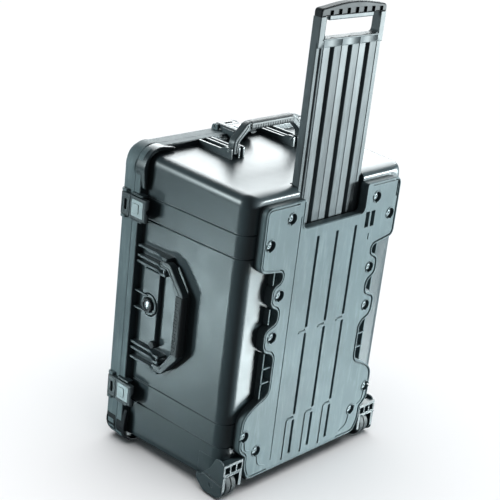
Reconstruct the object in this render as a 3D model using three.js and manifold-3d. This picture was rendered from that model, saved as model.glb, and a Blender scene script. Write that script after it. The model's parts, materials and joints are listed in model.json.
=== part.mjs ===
// Hard equipment case: an upright wheeled resin case with a hinged lid, three throw latches,
// two fold-down carry handles, a pull-out trolley handle behind a screwed cover, and two wheels.
// Millimetres. +Z is up, X runs across the width, the lid faces +Y and the trolley cover -Y.
// The origin is on the floor, under the middle of the object's box.
import * as THREE from "three";
import { mergeVertices } from "three/addons/utils/BufferGeometryUtils.js";
import Module from "manifold-3d";

const wasm = await Module();
wasm.setup();

// ---- driving dimensions ------------------------------------------------------------------
const GAP = 0.3; // clearance between pieces that touch
const RUN = 1; // clearance beside pieces that slide or turn
const EPS = 2; // how far a cutting solid runs past the face that it cuts

const BACK_Y = -144; // flat back wall of the base
const RIM_Y = 108; // where the base's flange starts
const PART_Y = 124; // parting face of the base
const LID_Y = 160; // outer face of the lid
const TRAY_Y = -160; // outer face of the trolley cover
const WALL = 5; // wall of base and lid

// Half width and height range of the tapered base, at its back and at its rim.
const BACK_END = { half: 219, low: 26, high: 600 };
const RIM_END = { half: 226, low: 18, high: 609 };
const BODY_FILLET = { side: 26, end: 12, corner: 22 }; // round its back: sides, ends, corners
const RIM = { half: 242, low: 6, high: 620, corner: 40 }; // flange and lid outline
const LID_FILLET = 12; // round the lid's outer face
const MID_Z = 317; // middle of latches, handles and cover, up the case
const SEAL = { half: 232, low: 12, high: 614, corner: 32, width: 5, depth: 4.2, slack: 1.2 };

// Trolley handle, its channel in the base, its hand opening, and the trigger in its grip.
const PANEL = { half: 89, low: 368, top: 926, front: -140, back: -122, skin: 5 };
const CHANNEL = { half: 91, low: 40, back: -118 };
const HOLE = { half: 74, low: 866, high: 904 };
const TRIGGER = { half: 60, travel: 5, drop: 8, slot: 10 };
const GROOVE = { spacing: 54, half: 6, depth: 5, stop: 20 }; // down the front of the handle

// Right-hand half of the trolley cover's outline from the bottom up: x, z, fillet radius.
const COVER_EDGE = [
  [158, 27, 14],
  [171, 56, 10],
  [171, 82, 3],
  [190, 98, 12],
  [190, 168, 22],
  [160, 190, 20],
  [126, 205, 12],
  [126, 284, 16],
  [158, 298, 16],
  [160, 340, 14],
  [130, 356, 8],
  [130, 374, 8],
  [152, 388, 14],
  [152, 424, 12],
  [130, 440, 10],
  [190, 462, 16],
  [190, 583, 18],
];
const SLOT = { half: 86, low: 526, high: 583, corner: 12 }; // opening that the handle leaves by
const HOLLOW = { half: 85, low: 50, high: 515, skin: 4 }; // inside the cover, behind its face

const WHEEL = { radius: 27, width: 32, x: 198, y: -132, hub: 17, axle: 5, beside: 2, around: 3 };
const HOUSING = { inner: 173, outer: 223, front: -160, back: -90, top: 80, cheek: 182 };
const FOOT = { near: 168, far: 212 };
const SKID = { near: 60, far: 80, front: -118, back: 80, depth: 12 };

const BAIL = { arm: 13, thick: 16, pin: 3.5, reveal: 2 };
const RIB_HALF = 2.5; // half thickness of the ribs that carry a handle
const CORE = { half: 4, below: 4, height: 7 }; // bar inside the soft grip, under the grip's top
// Each fold-down handle: outer half width at its feet and at its bar, height, bar, rib centres.
const SIDE_BAIL = { foot: 112.5, top: 62, reach: 62, bar: 20, grip: 60, ribs: [84, 96, 116] };
const TOP_BAIL = { foot: 98.5, top: 64, reach: 52, bar: 16, grip: 58, ribs: [70, 82, 102] };
const SIDE_PIVOT = { x: -238, y: 28 };
const TOP_PIVOT = { y: 28, z: 621 };
const LATCH = { half: 22, free: 76, end: 149, pivot: 143, sunk: 6, thick: 9.5, pin: 2.5 };
const LATCH_ROOM = 10; // radius cleared in the lid round each latch pivot
const LATCH_OUT = 252; // outer face of the side latches, from the middle
const LATCH_TOP_OUT = 632; // outer face of the top latch
const LATCH_SPACING = 191; // side latches, above and below MID_Z
// Each latch: whether it is on the top edge, and where it is along its edge.
const LATCHES = [
  { name: "latch_lower", top: false, at: MID_Z - LATCH_SPACING },
  { name: "latch_upper", top: false, at: MID_Z + LATCH_SPACING },
  { name: "latch_top", top: true, at: 0 },
];
const EAR = 5; // thickness of the lid's ears beside a latch
const HINGE = { x: 247, y: 125, pin: 2.5, barrel: 5, spacing: 190, length: 90, knuckles: 5, leaf: 12 };
const VALVE = { y: 68, z: 324, knob: 14, collar: 22, stem: 5, bore: 6, boss: 4 };

// Screws that hold the trolley cover: distance from the middle, and height.
const SCREWS = [
  [120, 552],
  [169, 510],
  [129, 405],
  [135, 322],
  [178, 128],
  [140, 85],
];
const SCREW = { head: 7, recess: 10, depth: 5, shank: 3, blind: 9 };

// ---- materials ---------------------------------------------------------------------------
function material(color, roughness, metalness = 0) {
  return new THREE.MeshStandardMaterial({ color, roughness, metalness });
}
const RESIN = material(0x39444a, 0.45);
const COVER = material(0x7d8a90, 0.4);
const RAIL = material(0x4c5a60, 0.42);
const RUBBER = material(0x14171a, 0.75);
const SOFT_GRIP = material(0x1b1f22, 0.7);
const STEEL = material(0x9aa3a8, 0.35, 0.9);

// ---- solids ------------------------------------------------------------------------------
/** A closed geometry as a solid that can be cut and joined. */
function solid(geometry) {
  const bare = geometry.index ? geometry.toNonIndexed() : geometry.clone();
  const points = new THREE.BufferGeometry();
  points.setAttribute("position", bare.getAttribute("position"));
  const merged = mergeVertices(points, 1e-3);
  return new wasm.Manifold(
    new wasm.Mesh({
      numProp: 3,
      vertProperties: merged.attributes.position.array,
      triVerts: new Uint32Array(merged.index.array),
    }),
  );
}

/** A solid as a flat-shaded geometry. */
function surface(body) {
  const mesh = body.getMesh();
  const geometry = new THREE.BufferGeometry();
  const points = new Float32Array(mesh.numVert * 3);
  for (let i = 0; i < mesh.numVert; i++) {
    points.set(mesh.vertProperties.subarray(i * mesh.numProp, i * mesh.numProp + 3), i * 3);
  }
  geometry.setAttribute("position", new THREE.BufferAttribute(points, 3));
  geometry.setIndex(new THREE.BufferAttribute(mesh.triVerts, 1));
  const flat = geometry.toNonIndexed();
  flat.computeVertexNormals();
  return flat;
}

/** A box from its low corner to its high corner. */
function block([x0, y0, z0], [x1, y1, z1]) {
  const geometry = new THREE.BoxGeometry(x1 - x0, y1 - y0, z1 - z0);
  return solid(geometry.translate((x0 + x1) / 2, (y0 + y1) / 2, (z0 + z1) / 2));
}

// Axes of a shape's x, y and of its extrusion, for solids pushed along X, Y and Z.
const ALONG = {
  x: [new THREE.Vector3(0, 1, 0), new THREE.Vector3(0, 0, 1), new THREE.Vector3(1, 0, 0)],
  y: [new THREE.Vector3(1, 0, 0), new THREE.Vector3(0, 0, 1), new THREE.Vector3(0, -1, 0)],
  z: [new THREE.Vector3(1, 0, 0), new THREE.Vector3(0, 1, 0), new THREE.Vector3(0, 0, 1)],
};

/** A shape pushed along an axis from low to high, with optional rounded edges. */
function push(shape, axis, low, high, { bevel = 0, curve = 3 } = {}) {
  const geometry = new THREE.ExtrudeGeometry(shape, {
    depth: high - low - 2 * bevel,
    bevelEnabled: bevel > 0,
    bevelThickness: bevel,
    bevelSize: bevel,
    bevelOffset: -bevel,
    bevelSegments: 3,
    curveSegments: curve,
  });
  geometry.applyMatrix4(new THREE.Matrix4().makeBasis(...ALONG[axis]));
  const start = axis === "y" ? -(high - bevel) : low + bevel;
  const shift = ALONG[axis][2].clone().multiplyScalar(start);
  return solid(geometry.translate(shift.x, shift.y, shift.z));
}

/** A rounded rectangle from its low corner to its high corner. */
function rounded(x0, y0, x1, y1, r) {
  const shape = new THREE.Shape();
  shape.moveTo(x0 + r, y0);
  shape.absarc(x1 - r, y0 + r, r, -Math.PI / 2, 0, false);
  shape.absarc(x1 - r, y1 - r, r, 0, Math.PI / 2, false);
  shape.absarc(x0 + r, y1 - r, r, Math.PI / 2, Math.PI, false);
  shape.absarc(x0 + r, y0 + r, r, Math.PI, Math.PI * 1.5, false);
  return shape;
}

/** A shape through a list of corners, each with its own fillet radius: [x, y, radius]. */
function filleted(corners) {
  const shape = new THREE.Shape();
  const count = corners.length;
  const at = (i) => new THREE.Vector2(corners[(i + count) % count][0], corners[(i + count) % count][1]);
  for (let i = 0; i < count; i++) {
    const here = at(i);
    const radius = corners[i][2] ?? 0;
    const before = at(i - 1).sub(here);
    const after = at(i + 1).sub(here);
    const cut = Math.min(radius, before.length() / 2, after.length() / 2);
    const enter = before.setLength(Math.max(cut, 1e-6)).add(here);
    const leave = after.setLength(Math.max(cut, 1e-6)).add(here);
    if (i === 0) shape.moveTo(enter.x, enter.y);
    else shape.lineTo(enter.x, enter.y);
    if (cut > 0) shape.quadraticCurveTo(here.x, here.y, leave.x, leave.y);
  }
  shape.closePath();
  return shape;
}

/** A disc or rod of given radius along an axis, centred on two coordinates across it. */
function rod(axis, a, b, low, high, radius, sides = 24) {
  const shape = new THREE.Shape();
  shape.absarc(a, b, radius, 0, Math.PI * 2, false);
  return push(shape, axis, low, high, { curve: sides / 2 });
}

/** One ring of a tapered shell: a rounded rectangle in the XZ plane at height y. */
function ring(half, low, high, corner, y, steps = 6) {
  const points = [];
  const centres = [
    [half - corner, low + corner, -90],
    [half - corner, high - corner, 0],
    [-half + corner, high - corner, 90],
    [-half + corner, low + corner, 180],
  ];
  for (const [x, z, start] of centres) {
    for (let i = 0; i <= steps; i++) {
      const angle = THREE.MathUtils.degToRad(start + (90 * i) / steps);
      points.push([x + corner * Math.cos(angle), y, z + corner * Math.sin(angle)]);
    }
  }
  return points;
}

/** A closed solid through rings that run from low y to high y. */
function loft(rings) {
  const count = rings[0].length;
  const middle = (points) => points.reduce((s, p) => s.map((v, k) => v + p[k] / count), [0, 0, 0]);
  const points = rings.flat();
  const first = points.push(middle(rings[0])) - 1;
  const last = points.push(middle(rings[rings.length - 1])) - 1;
  const index = [];
  for (let r = 0; r + 1 < rings.length; r++) {
    for (let i = 0; i < count; i++) {
      const a = r * count + i;
      const b = r * count + ((i + 1) % count);
      index.push(a, a + count, b, b, a + count, b + count);
    }
  }
  const top = (rings.length - 1) * count;
  for (let i = 0; i < count; i++) {
    index.push(first, i, (i + 1) % count);
    index.push(last, top + ((i + 1) % count), top + i);
  }
  const geometry = new THREE.BufferGeometry();
  geometry.setAttribute("position", new THREE.Float32BufferAttribute(points.flat(), 3));
  geometry.setIndex(index);
  return solid(geometry);
}

function join(...bodies) {
  return bodies.reduce((a, b) => a.add(b));
}

function cut(body, ...tools) {
  return tools.reduce((a, b) => a.subtract(b), body);
}

// ---- the assembly ------------------------------------------------------------------------
const assembly = new THREE.Group();

function place(name, body, look) {
  const mesh = new THREE.Mesh(surface(body), look);
  mesh.name = name;
  assembly.add(mesh);
}

const SIDES = [
  ["left", -1],
  ["right", 1],
];
const ENDS = [
  ["lower", -1],
  ["upper", 1],
];

/** The range between two mirrored distances, in rising order. */
function span(side, near, far) {
  return side > 0 ? [near, far] : [-far, -near];
}

// ---- base ----------------------------------------------------------------------------------
/** Width and height range of the tapered base at height y, pulled in by an inset. */
function bodyAt(y, inset = 0) {
  const t = (y - BACK_Y) / (RIM_Y - BACK_Y);
  const mix = (key) => THREE.MathUtils.lerp(BACK_END[key], RIM_END[key], t);
  return { half: mix("half") - inset, low: mix("low") + inset, high: mix("high") - inset };
}

/** Solid of the base's outside, with its back edges rounded over. */
function bodySolid(inset, top) {
  const sideFillet = BODY_FILLET.side - inset;
  const endFillet = BODY_FILLET.end - inset / 2;
  const corner = BODY_FILLET.corner - inset / 2;
  const rings = [0, 30, 60, 90].map((degrees) => {
    const angle = THREE.MathUtils.degToRad(degrees);
    const y = BACK_Y + inset + sideFillet * (1 - Math.cos(angle));
    const pull = 1 - Math.sin(angle);
    const size = bodyAt(y, inset);
    const low = size.low + endFillet * pull;
    const high = size.high - endFillet * pull;
    return ring(size.half - sideFillet * pull, low, high, corner, y);
  });
  const end = bodyAt(top, inset);
  rings.push(ring(end.half, end.low, end.high, corner, top));
  return loft(rings);
}

/** The slide channel of the trolley handle, grown by a wall. */
function channel(grow) {
  const high = RIM.high + 100;
  const low = [-CHANNEL.half - grow, BACK_Y - 40, CHANNEL.low - grow];
  return block(low, [CHANNEL.half + grow, CHANNEL.back + grow, high]);
}

/** The corner recess that takes a wheel housing, grown by a wall. */
function wheelWell(side, grow) {
  const [x0, x1] = span(side, HOUSING.inner - GAP - grow, HOUSING.outer + 40);
  const back = HOUSING.back + GAP + grow;
  return block([x0, BACK_Y - 40, -40], [x1, back, HOUSING.top + GAP + grow]);
}

/** Ribs on the side wall that carry the side handle, from the flange to its pivots. */
function sideRibs() {
  const half = bodyAt(SIDE_PIVOT.y).half - EPS;
  const profile = filleted([
    [-half, RIM_Y + 1],
    [-half, SIDE_PIVOT.y - 8],
    [SIDE_PIVOT.x - 5, SIDE_PIVOT.y - 7, 4],
    [SIDE_PIVOT.x - 5, SIDE_PIVOT.y + 9, 3],
    [SIDE_PIVOT.x + 1, SIDE_PIVOT.y + 20, 4],
    [SIDE_PIVOT.x + 1, RIM_Y + 1],
  ]);
  const places = [...SIDE_BAIL.ribs.map((at) => -at), ...SIDE_BAIL.ribs];
  return join(...places.map((at) => push(profile, "z", MID_Z + at - RIB_HALF, MID_Z + at + RIB_HALF)));
}

/** The same ribs on the top wall, for the top handle. */
function topRibs() {
  const low = bodyAt(TOP_PIVOT.y).high - EPS;
  const profile = filleted([
    [TOP_PIVOT.y - 8, low],
    [RIM_Y + 1, low],
    [RIM_Y + 1, TOP_PIVOT.z - 1],
    [TOP_PIVOT.y + 20, TOP_PIVOT.z - 1, 4],
    [TOP_PIVOT.y + 9, TOP_PIVOT.z + 5, 3],
    [TOP_PIVOT.y - 7, TOP_PIVOT.z + 5, 4],
  ]);
  const places = [...TOP_BAIL.ribs.map((at) => -at), ...TOP_BAIL.ribs];
  return join(...places.map((at) => push(profile, "x", at - RIB_HALF, at + RIB_HALF)));
}

/** The stretch of a handle pin through one group of ribs. */
function pinSpan(bail, side, extra) {
  return span(side, bail.ribs[0] - extra, bail.ribs[2] + extra);
}

/** Holes for the handle pins through the ribs. */
function handlePinHoles() {
  const r = BAIL.pin + GAP;
  const holes = [];
  for (const [, side] of SIDES) {
    const [low, high] = pinSpan(SIDE_BAIL, side, 4);
    holes.push(rod("z", SIDE_PIVOT.x, SIDE_PIVOT.y, MID_Z + low, MID_Z + high, r, 12));
    holes.push(rod("x", TOP_PIVOT.y, TOP_PIVOT.z, ...pinSpan(TOP_BAIL, side, 4), r, 12));
  }
  return join(...holes);
}

/** Screw holes through the cover or into the base. */
function screwHoles(radius, low, high) {
  const holes = [];
  for (const [, side] of SIDES) {
    for (const [x, z] of SCREWS) holes.push(rod("y", side * x, z, low, high, radius, 12));
  }
  return join(...holes);
}

/** Barrel of a hinge on the +X side, cut to the knuckles of one half. */
function knuckles(own) {
  const parts = [];
  const step = HINGE.length / HINGE.knuckles;
  for (const [, end] of ENDS) {
    const start = MID_Z + end * HINGE.spacing - HINGE.length / 2;
    for (let i = own; i < HINGE.knuckles; i += 2) {
      const z0 = start + i * step + RUN / 2;
      const z1 = start + (i + 1) * step - RUN / 2;
      const barrel = rod("z", HINGE.x, HINGE.y, z0, z1, HINGE.barrel, 20);
      const y0 = own ? HINGE.y : HINGE.y - HINGE.leaf;
      const y1 = own ? HINGE.y + HINGE.leaf : HINGE.y;
      parts.push(join(barrel, block([RIM.half - 6, y0, z0], [HINGE.x + 1, y1, z1])));
    }
  }
  return join(...parts);
}

function hingeBores() {
  const r = HINGE.pin + GAP;
  const bores = ENDS.map(([, end]) => {
    const middle = MID_Z + end * HINGE.spacing;
    const reach = HINGE.length / 2 + EPS;
    return rod("z", HINGE.x, HINGE.y, middle - reach, middle + reach, r, 12);
  });
  return join(...bores);
}

/** Room cut from one half's flange for the other half's knuckles. */
function knuckleRoom(own) {
  const parts = [];
  const step = HINGE.length / HINGE.knuckles;
  for (const [, end] of ENDS) {
    const start = MID_Z + end * HINGE.spacing - HINGE.length / 2;
    for (let i = own; i < HINGE.knuckles; i += 2) {
      const z0 = start + i * step - RUN / 2;
      const z1 = start + (i + 1) * step + RUN / 2;
      parts.push(rod("z", HINGE.x, HINGE.y, z0, z1, HINGE.barrel + 1.5, 20));
    }
  }
  return join(...parts);
}

function baseShell() {
  const flange = push(rounded(-RIM.half, RIM.low, RIM.half, RIM.high, RIM.corner), "y", RIM_Y, PART_Y);
  let outside = join(bodySolid(0, RIM_Y + 1), flange, sideRibs(), topRibs());
  outside = cut(outside, channel(0), wheelWell(-1, 0), wheelWell(1, 0));
  const inside = cut(
    bodySolid(WALL, PART_Y + 20),
    channel(WALL),
    wheelWell(-1, WALL),
    wheelWell(1, WALL),
    valveBoss(),
    screwHoles(SCREW.shank + 4, BACK_Y, BACK_Y + WALL + SCREW.blind),
  );
  const shell = cut(outside, inside, handlePinHoles(), valveBore());
  const holes = screwHoles(SCREW.shank + GAP, BACK_Y - 10, BACK_Y + WALL + SCREW.blind - 3);
  const hinged = cut(shell, holes, knuckleRoom(1));
  return cut(join(hinged, knuckles(0)), hingeBores());
}

// ---- pressure valve ------------------------------------------------------------------------
function valveBoss() {
  return rod("x", VALVE.y, VALVE.z, -RIM.half, -205, VALVE.knob + VALVE.boss);
}

function valveBore() {
  return rod("x", VALVE.y, VALVE.z, -260, -190, VALVE.bore, 16);
}

function placeValve() {
  const wall = -bodyAt(VALVE.y + VALVE.collar).half;
  const ringShape = new THREE.Shape();
  ringShape.absarc(VALVE.y, VALVE.z, VALVE.collar, 0, Math.PI * 2, false);
  const bore = new THREE.Path();
  bore.absarc(VALVE.y, VALVE.z, VALVE.knob + RUN, 0, Math.PI * 2, true);
  ringShape.holes.push(bore);
  const collar = push(ringShape, "x", wall - 8, wall - GAP, { curve: 12 });
  place("valve_collar", collar, RESIN);
  const stem = rod("x", VALVE.y, VALVE.z, wall - 6, wall + 16, VALVE.stem, 16);
  const cap = rod("x", VALVE.y, VALVE.z, wall - 15, wall - 1, VALVE.knob, 20);
  place("valve_knob", join(cap, stem), SOFT_GRIP);
}

// ---- lid -----------------------------------------------------------------------------------
function lidShell() {
  const rings = [ring(RIM.half, RIM.low, RIM.high, RIM.corner, PART_Y + RUN)];
  for (const degrees of [0, 30, 60, 90]) {
    const angle = THREE.MathUtils.degToRad(degrees);
    const pull = LID_FILLET * (1 - Math.cos(angle));
    const y = LID_Y - LID_FILLET * (1 - Math.sin(angle));
    rings.push(ring(RIM.half - pull, RIM.low + pull, RIM.high - pull, RIM.corner - pull / 2, y));
  }
  const outside = loft(rings);
  const size = bodyAt(RIM_Y, WALL);
  const inside = push(
    rounded(-size.half, size.low, size.half, size.high, 20),
    "y",
    PART_Y - 10,
    LID_Y - WALL,
  );
  const groove = sealRing(SEAL.slack, PART_Y, PART_Y + SEAL.depth + GAP);
  const reach = LATCH.half + RUN;
  const latchRoom = LATCHES.map((latch) => latchRod(latch, LATCH_ROOM, -reach, reach));
  const shell = cut(outside, inside, groove, knuckleRoom(0), ...latchRoom);
  const eared = join(shell, latchEars());
  return cut(join(eared, knuckles(1)), hingeBores(), latchPinHoles());
}

/** A rounded-rectangle ring in the parting face, grown by a clearance. */
function sealRing(grow, low, high) {
  const outline = (d, r) => rounded(-SEAL.half - d, SEAL.low - d, SEAL.half + d, SEAL.high + d, r);
  const shape = outline(grow, SEAL.corner);
  const inner = outline(-SEAL.width - grow, SEAL.corner - SEAL.width + 1);
  shape.holes.push(new THREE.Path(inner.getPoints(6).reverse()));
  return push(shape, "y", low, high, { curve: 3 });
}

// ---- latches -------------------------------------------------------------------------------
/** Push a profile drawn as (outward, y) across a latch's width. */
function latchPush(latch, corners, low, high) {
  if (latch.top) {
    const shape = filleted(corners.map(([out, y, r]) => [y, LATCH_TOP_OUT + out, r]));
    return push(shape, "x", latch.at + low, latch.at + high);
  }
  const shape = filleted(corners.map(([out, y, r]) => [-LATCH_OUT - out, y, r]).reverse());
  return push(shape, "z", latch.at + low, latch.at + high);
}

function latchRod(latch, radius, low, high) {
  if (latch.top) {
    return rod("x", LATCH.pivot, LATCH_TOP_OUT - LATCH.sunk, latch.at + low, latch.at + high, radius, 12);
  }
  return rod("z", -LATCH_OUT + LATCH.sunk, LATCH.pivot, latch.at + low, latch.at + high, radius, 12);
}

/** Ears on the lid that hold the latch pins. */
function latchEars() {
  const ears = [];
  for (const latch of LATCHES) {
    const profile = [
      [-16, LATCH.pivot - 8],
      [-1, LATCH.pivot - 7, 4],
      [-1, LATCH.pivot + 7, 6],
      [-16, LATCH.pivot + 10],
    ];
    for (const [, side] of SIDES) {
      const [low, high] = span(side, LATCH.half + RUN, LATCH.half + RUN + EAR);
      ears.push(latchPush(latch, profile, low, high));
    }
  }
  return join(...ears);
}

function latchPinHoles() {
  return join(...LATCHES.map((l) => latchRod(l, LATCH.pin + GAP, -LATCH.half - 8, LATCH.half + 8)));
}

function placeLatches() {
  for (const latch of LATCHES) {
    const lever = [
      [0, LATCH.free + 3, 3],
      [0, LATCH.end, 5],
      [-LATCH.thick, LATCH.end, 4],
      [-LATCH.thick, LATCH.free + 4, 2],
      [-LATCH.thick + 3, LATCH.free, 3],
    ];
    const body = latchPush(latch, lever, -LATCH.half, LATCH.half);
    const bore = latchRod(latch, LATCH.pin + GAP, -LATCH.half - EPS, LATCH.half + EPS);
    place(latch.name, cut(body, bore), RESIN);
    const reach = LATCH.half + EAR;
    place(latch.name + "_pin", latchRod(latch, LATCH.pin, -reach, reach), STEEL);
  }
}

// ---- fold-down handles ---------------------------------------------------------------------
/** Outer or inner outline of a handle: along the case edge, and away from its pivots. */
function bailOutline(bail, inner) {
  const foot = bail.foot - (inner ? BAIL.arm : 0);
  const low = inner ? -30 : -8;
  const knee = inner ? 13 : 19;
  const top = bail.top - (inner ? 4 : 0);
  const reach = bail.reach - (inner ? bail.bar : 0);
  return [
    [-foot, low, 6],
    [-foot, knee, 8],
    [-top, reach, 12],
    [top, reach, 12],
    [foot, knee, 8],
    [foot, low, 6],
  ];
}

/** Turn a solid drawn upright over the top pivot into its place on the side wall, folded. */
function toSide(body) {
  const turn = new THREE.Matrix4().makeBasis(
    new THREE.Vector3(0, 0, 1),
    new THREE.Vector3(-1, 0, 0),
    new THREE.Vector3(0, -1, 0),
  );
  const mesh = body.getMesh();
  const geometry = new THREE.BufferGeometry();
  geometry.setAttribute("position", new THREE.BufferAttribute(mesh.vertProperties.slice(), 3));
  geometry.setIndex(new THREE.BufferAttribute(mesh.triVerts, 1));
  geometry.translate(0, -TOP_PIVOT.y, -TOP_PIVOT.z);
  geometry.applyMatrix4(turn);
  geometry.translate(SIDE_PIVOT.x, SIDE_PIVOT.y, MID_Z);
  return solid(geometry);
}

/** The frame of a handle, upright over the top pivot. */
function bailFrame(bail) {
  const { y, z } = TOP_PIVOT;
  const lift = (corners) => filleted(corners.map(([a, b, r]) => [a, b + z, r]).reverse());
  const half = BAIL.thick / 2;
  const outer = push(lift(bailOutline(bail, false)), "y", y - half, y + half);
  const inner = push(lift(bailOutline(bail, true)), "y", y - half - EPS, y + half + EPS);
  const room = block([-bail.grip - GAP, y - 20, z + 20], [bail.grip + GAP, y + 20, z + 100]);
  const top = z + bail.reach - CORE.below;
  const core = block(
    [-bail.grip - 1, y - CORE.half, top - CORE.height],
    [bail.grip + 1, y + CORE.half, top],
  );
  const frame = join(cut(outer, inner, room), core);
  return cut(frame, rod("x", y, z, -bail.foot - EPS, bail.foot + EPS, BAIL.pin + GAP, 12));
}

/** The soft grip round the bar of a handle. */
function bailGrip(bail) {
  const { y, z } = TOP_PIVOT;
  const half = BAIL.thick / 2 + BAIL.reveal;
  const high = z + bail.reach;
  const outline = rounded(y - half, high - bail.bar - BAIL.reveal, y + half, high, 6);
  const top = high - CORE.below + GAP;
  const bore = block(
    [-bail.grip - EPS, y - CORE.half - GAP, top - CORE.height - 2 * GAP],
    [bail.grip + EPS, y + CORE.half + GAP, top],
  );
  return cut(push(outline, "x", -bail.grip, bail.grip), bore);
}

function placeHandles() {
  place("top_handle_frame", bailFrame(TOP_BAIL), RESIN);
  place("top_handle_grip", bailGrip(TOP_BAIL), SOFT_GRIP);
  place("side_handle_frame", toSide(bailFrame(SIDE_BAIL)), RESIN);
  place("side_handle_grip", toSide(bailGrip(SIDE_BAIL)), SOFT_GRIP);
  for (const [name, side] of SIDES) {
    const pin = rod("x", TOP_PIVOT.y, TOP_PIVOT.z, ...pinSpan(TOP_BAIL, side, 3), BAIL.pin, 12);
    place("top_handle_pin_" + name, pin, STEEL);
  }
  for (const [name, side] of ENDS) {
    const [low, high] = pinSpan(SIDE_BAIL, side, 3);
    const pin = rod("z", SIDE_PIVOT.x, SIDE_PIVOT.y, MID_Z + low, MID_Z + high, BAIL.pin, 12);
    place("side_handle_pin_" + name, pin, STEEL);
  }
}

// ---- trolley cover, handle and grip ----------------------------------------------------------
function coverShape() {
  const right = [...COVER_EDGE, [SLOT.half, SLOT.high, 6], [SLOT.half, SLOT.low, SLOT.corner]];
  const left = right.map(([x, z, r]) => [-x, z, r]).reverse();
  return filleted([...right, ...left]);
}

function placeCover() {
  const body = push(coverShape(), "y", TRAY_Y, BACK_Y - GAP, { curve: 3 });
  const deep = [HOLLOW.half, BACK_Y + EPS, HOLLOW.high];
  const hollow = block([-HOLLOW.half, TRAY_Y + HOLLOW.skin, HOLLOW.low], deep);
  const holes = [
    screwHoles(SCREW.shank + GAP, TRAY_Y - EPS, BACK_Y + EPS),
    screwHoles(SCREW.recess, TRAY_Y - EPS, TRAY_Y + SCREW.depth),
  ];
  place("trolley_cover", cut(body, hollow, ...holes), COVER);
  for (const [name, side] of SIDES) {
    SCREWS.forEach(([x, z], i) => {
      const head = rod("y", side * x, z, TRAY_Y + 1, TRAY_Y + SCREW.depth - GAP, SCREW.head, 12);
      const low = TRAY_Y + SCREW.depth - 1;
      const tip = BACK_Y + WALL + SCREW.blind - 4;
      const shank = rod("y", side * x, z, low, tip, SCREW.shank, 8);
      place("cover_screw_" + name + "_" + (i + 1), join(head, shank), STEEL);
    });
  }
}

function placeTrolleyHandle() {
  const { half, low, front, back, top, skin } = PANEL;
  const split = HOLE.high;
  const trunk = block([-half, front, low], [half, back, HOLE.low]);
  const posts = SIDES.map(([, side]) => {
    const [x0, x1] = span(side, HOLE.half, half);
    return block([x0, front, HOLE.low - 1], [x1, back, split]);
  });
  const grooves = [-GROOVE.spacing, 0, GROOVE.spacing].map((x) => {
    const shape = new THREE.Shape();
    shape.moveTo(x - GROOVE.half, front - EPS);
    shape.lineTo(x + GROOVE.half, front - EPS);
    shape.lineTo(x, front + GROOVE.depth);
    return push(shape, "z", low - EPS, HOLE.low - GROOVE.stop);
  });
  const hollows = [0, 1, 2].map((i) => {
    const step = (HOLE.low - low) / 3;
    const [z0, z1] = [low + i * step + skin, low + (i + 1) * step - skin];
    return block([-half + skin, front + 2 * skin, z0], [half - skin, back + EPS, z1]);
  });
  place("trolley_handle", cut(join(trunk, ...posts), ...grooves, ...hollows), RAIL);

  const z0 = split + GAP;
  const outline = filleted([
    [-half, z0],
    [half, z0],
    [half, top - 8, 26],
    [0, top + 4, 120],
    [-half, top - 8, 26],
  ]);
  const roof = z0 + TRIGGER.slot;
  const slot = block([-TRIGGER.half - RUN, front + 4, z0 - EPS], [TRIGGER.half + RUN, back - 4, roof]);
  place("trolley_grip", cut(push(outline, "y", front, back, { bevel: 3 }), slot), SOFT_GRIP);

  const [t0, t1] = [HOLE.high - TRIGGER.drop, roof - TRIGGER.travel - GAP];
  const bar = block([-TRIGGER.half, front + 5, t0], [TRIGGER.half, back - 5, t1]);
  place("release_trigger", bar, RAIL);
}

// ---- wheels, feet and skids ------------------------------------------------------------------
function placeWheels() {
  const { radius, width, y, hub, axle } = WHEEL;
  for (const [name, side] of SIDES) {
    const x = side * WHEEL.x;
    const z = radius;
    const [x0, x1] = span(side, HOUSING.inner, HOUSING.outer);
    const cheek = filleted([
      [HOUSING.front, 22],
      [HOUSING.front + 10, 7, 6],
      [y + 20, 5, 8],
      [HOUSING.back, 22, 6],
      [HOUSING.back, 36, 3],
      [y + 10, 40, 8],
      [HOUSING.front + 9, HOUSING.top, 3],
      [HOUSING.front, HOUSING.top],
    ]);
    const [c0, c1] = span(side, HOUSING.cheek, HOUSING.outer);
    const filler = block([x0, BACK_Y - 9, 20], [x1, HOUSING.back, HOUSING.top]);
    const lip = block([x0, HOUSING.front, 24], [x1, BACK_Y - GAP, HOUSING.top]);
    const shell = join(filler.intersect(bodySolid(0, RIM_Y)), lip, push(cheek, "x", c0, c1));
    const roomHalf = width / 2 + WHEEL.beside;
    const reach = radius + WHEEL.around;
    const start = [x - roomHalf, HOUSING.front - EPS, -EPS];
    const arch = rod("x", y, z, x - roomHalf, x + roomHalf, reach, 24);
    const mouth = block(start, [x + roomHalf, y + reach, z]);
    const rear = block(start, [x + roomHalf, y, z + reach]);
    const bore = rod("x", y, z, x0 - EPS, x1 + EPS, axle + GAP, 16);
    place("wheel_housing_" + name, cut(shell, arch, mouth, rear, bore), RESIN);

    const core = rod("x", y, z, x - width / 2 + 1, x + width / 2 - 1, hub, 24);
    place("wheel_hub_" + name, cut(core, bore), RAIL);
    const tyre = new THREE.LatheGeometry(
      [
        new THREE.Vector2(hub + GAP, -width / 2),
        new THREE.Vector2(radius - 4, -width / 2),
        new THREE.Vector2(radius, -width / 2 + 4),
        new THREE.Vector2(radius, width / 2 - 4),
        new THREE.Vector2(radius - 4, width / 2),
        new THREE.Vector2(hub + GAP, width / 2),
        new THREE.Vector2(hub + GAP, -width / 2),
      ],
      36,
    );
    tyre.rotateZ(-Math.PI / 2);
    place("wheel_tyre_" + name, solid(tyre.translate(x, y, z)), RUBBER);
    place("wheel_axle_" + name, rod("x", y, z, x0 + 1, x1 - 1, axle, 16), STEEL);
  }
}

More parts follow.
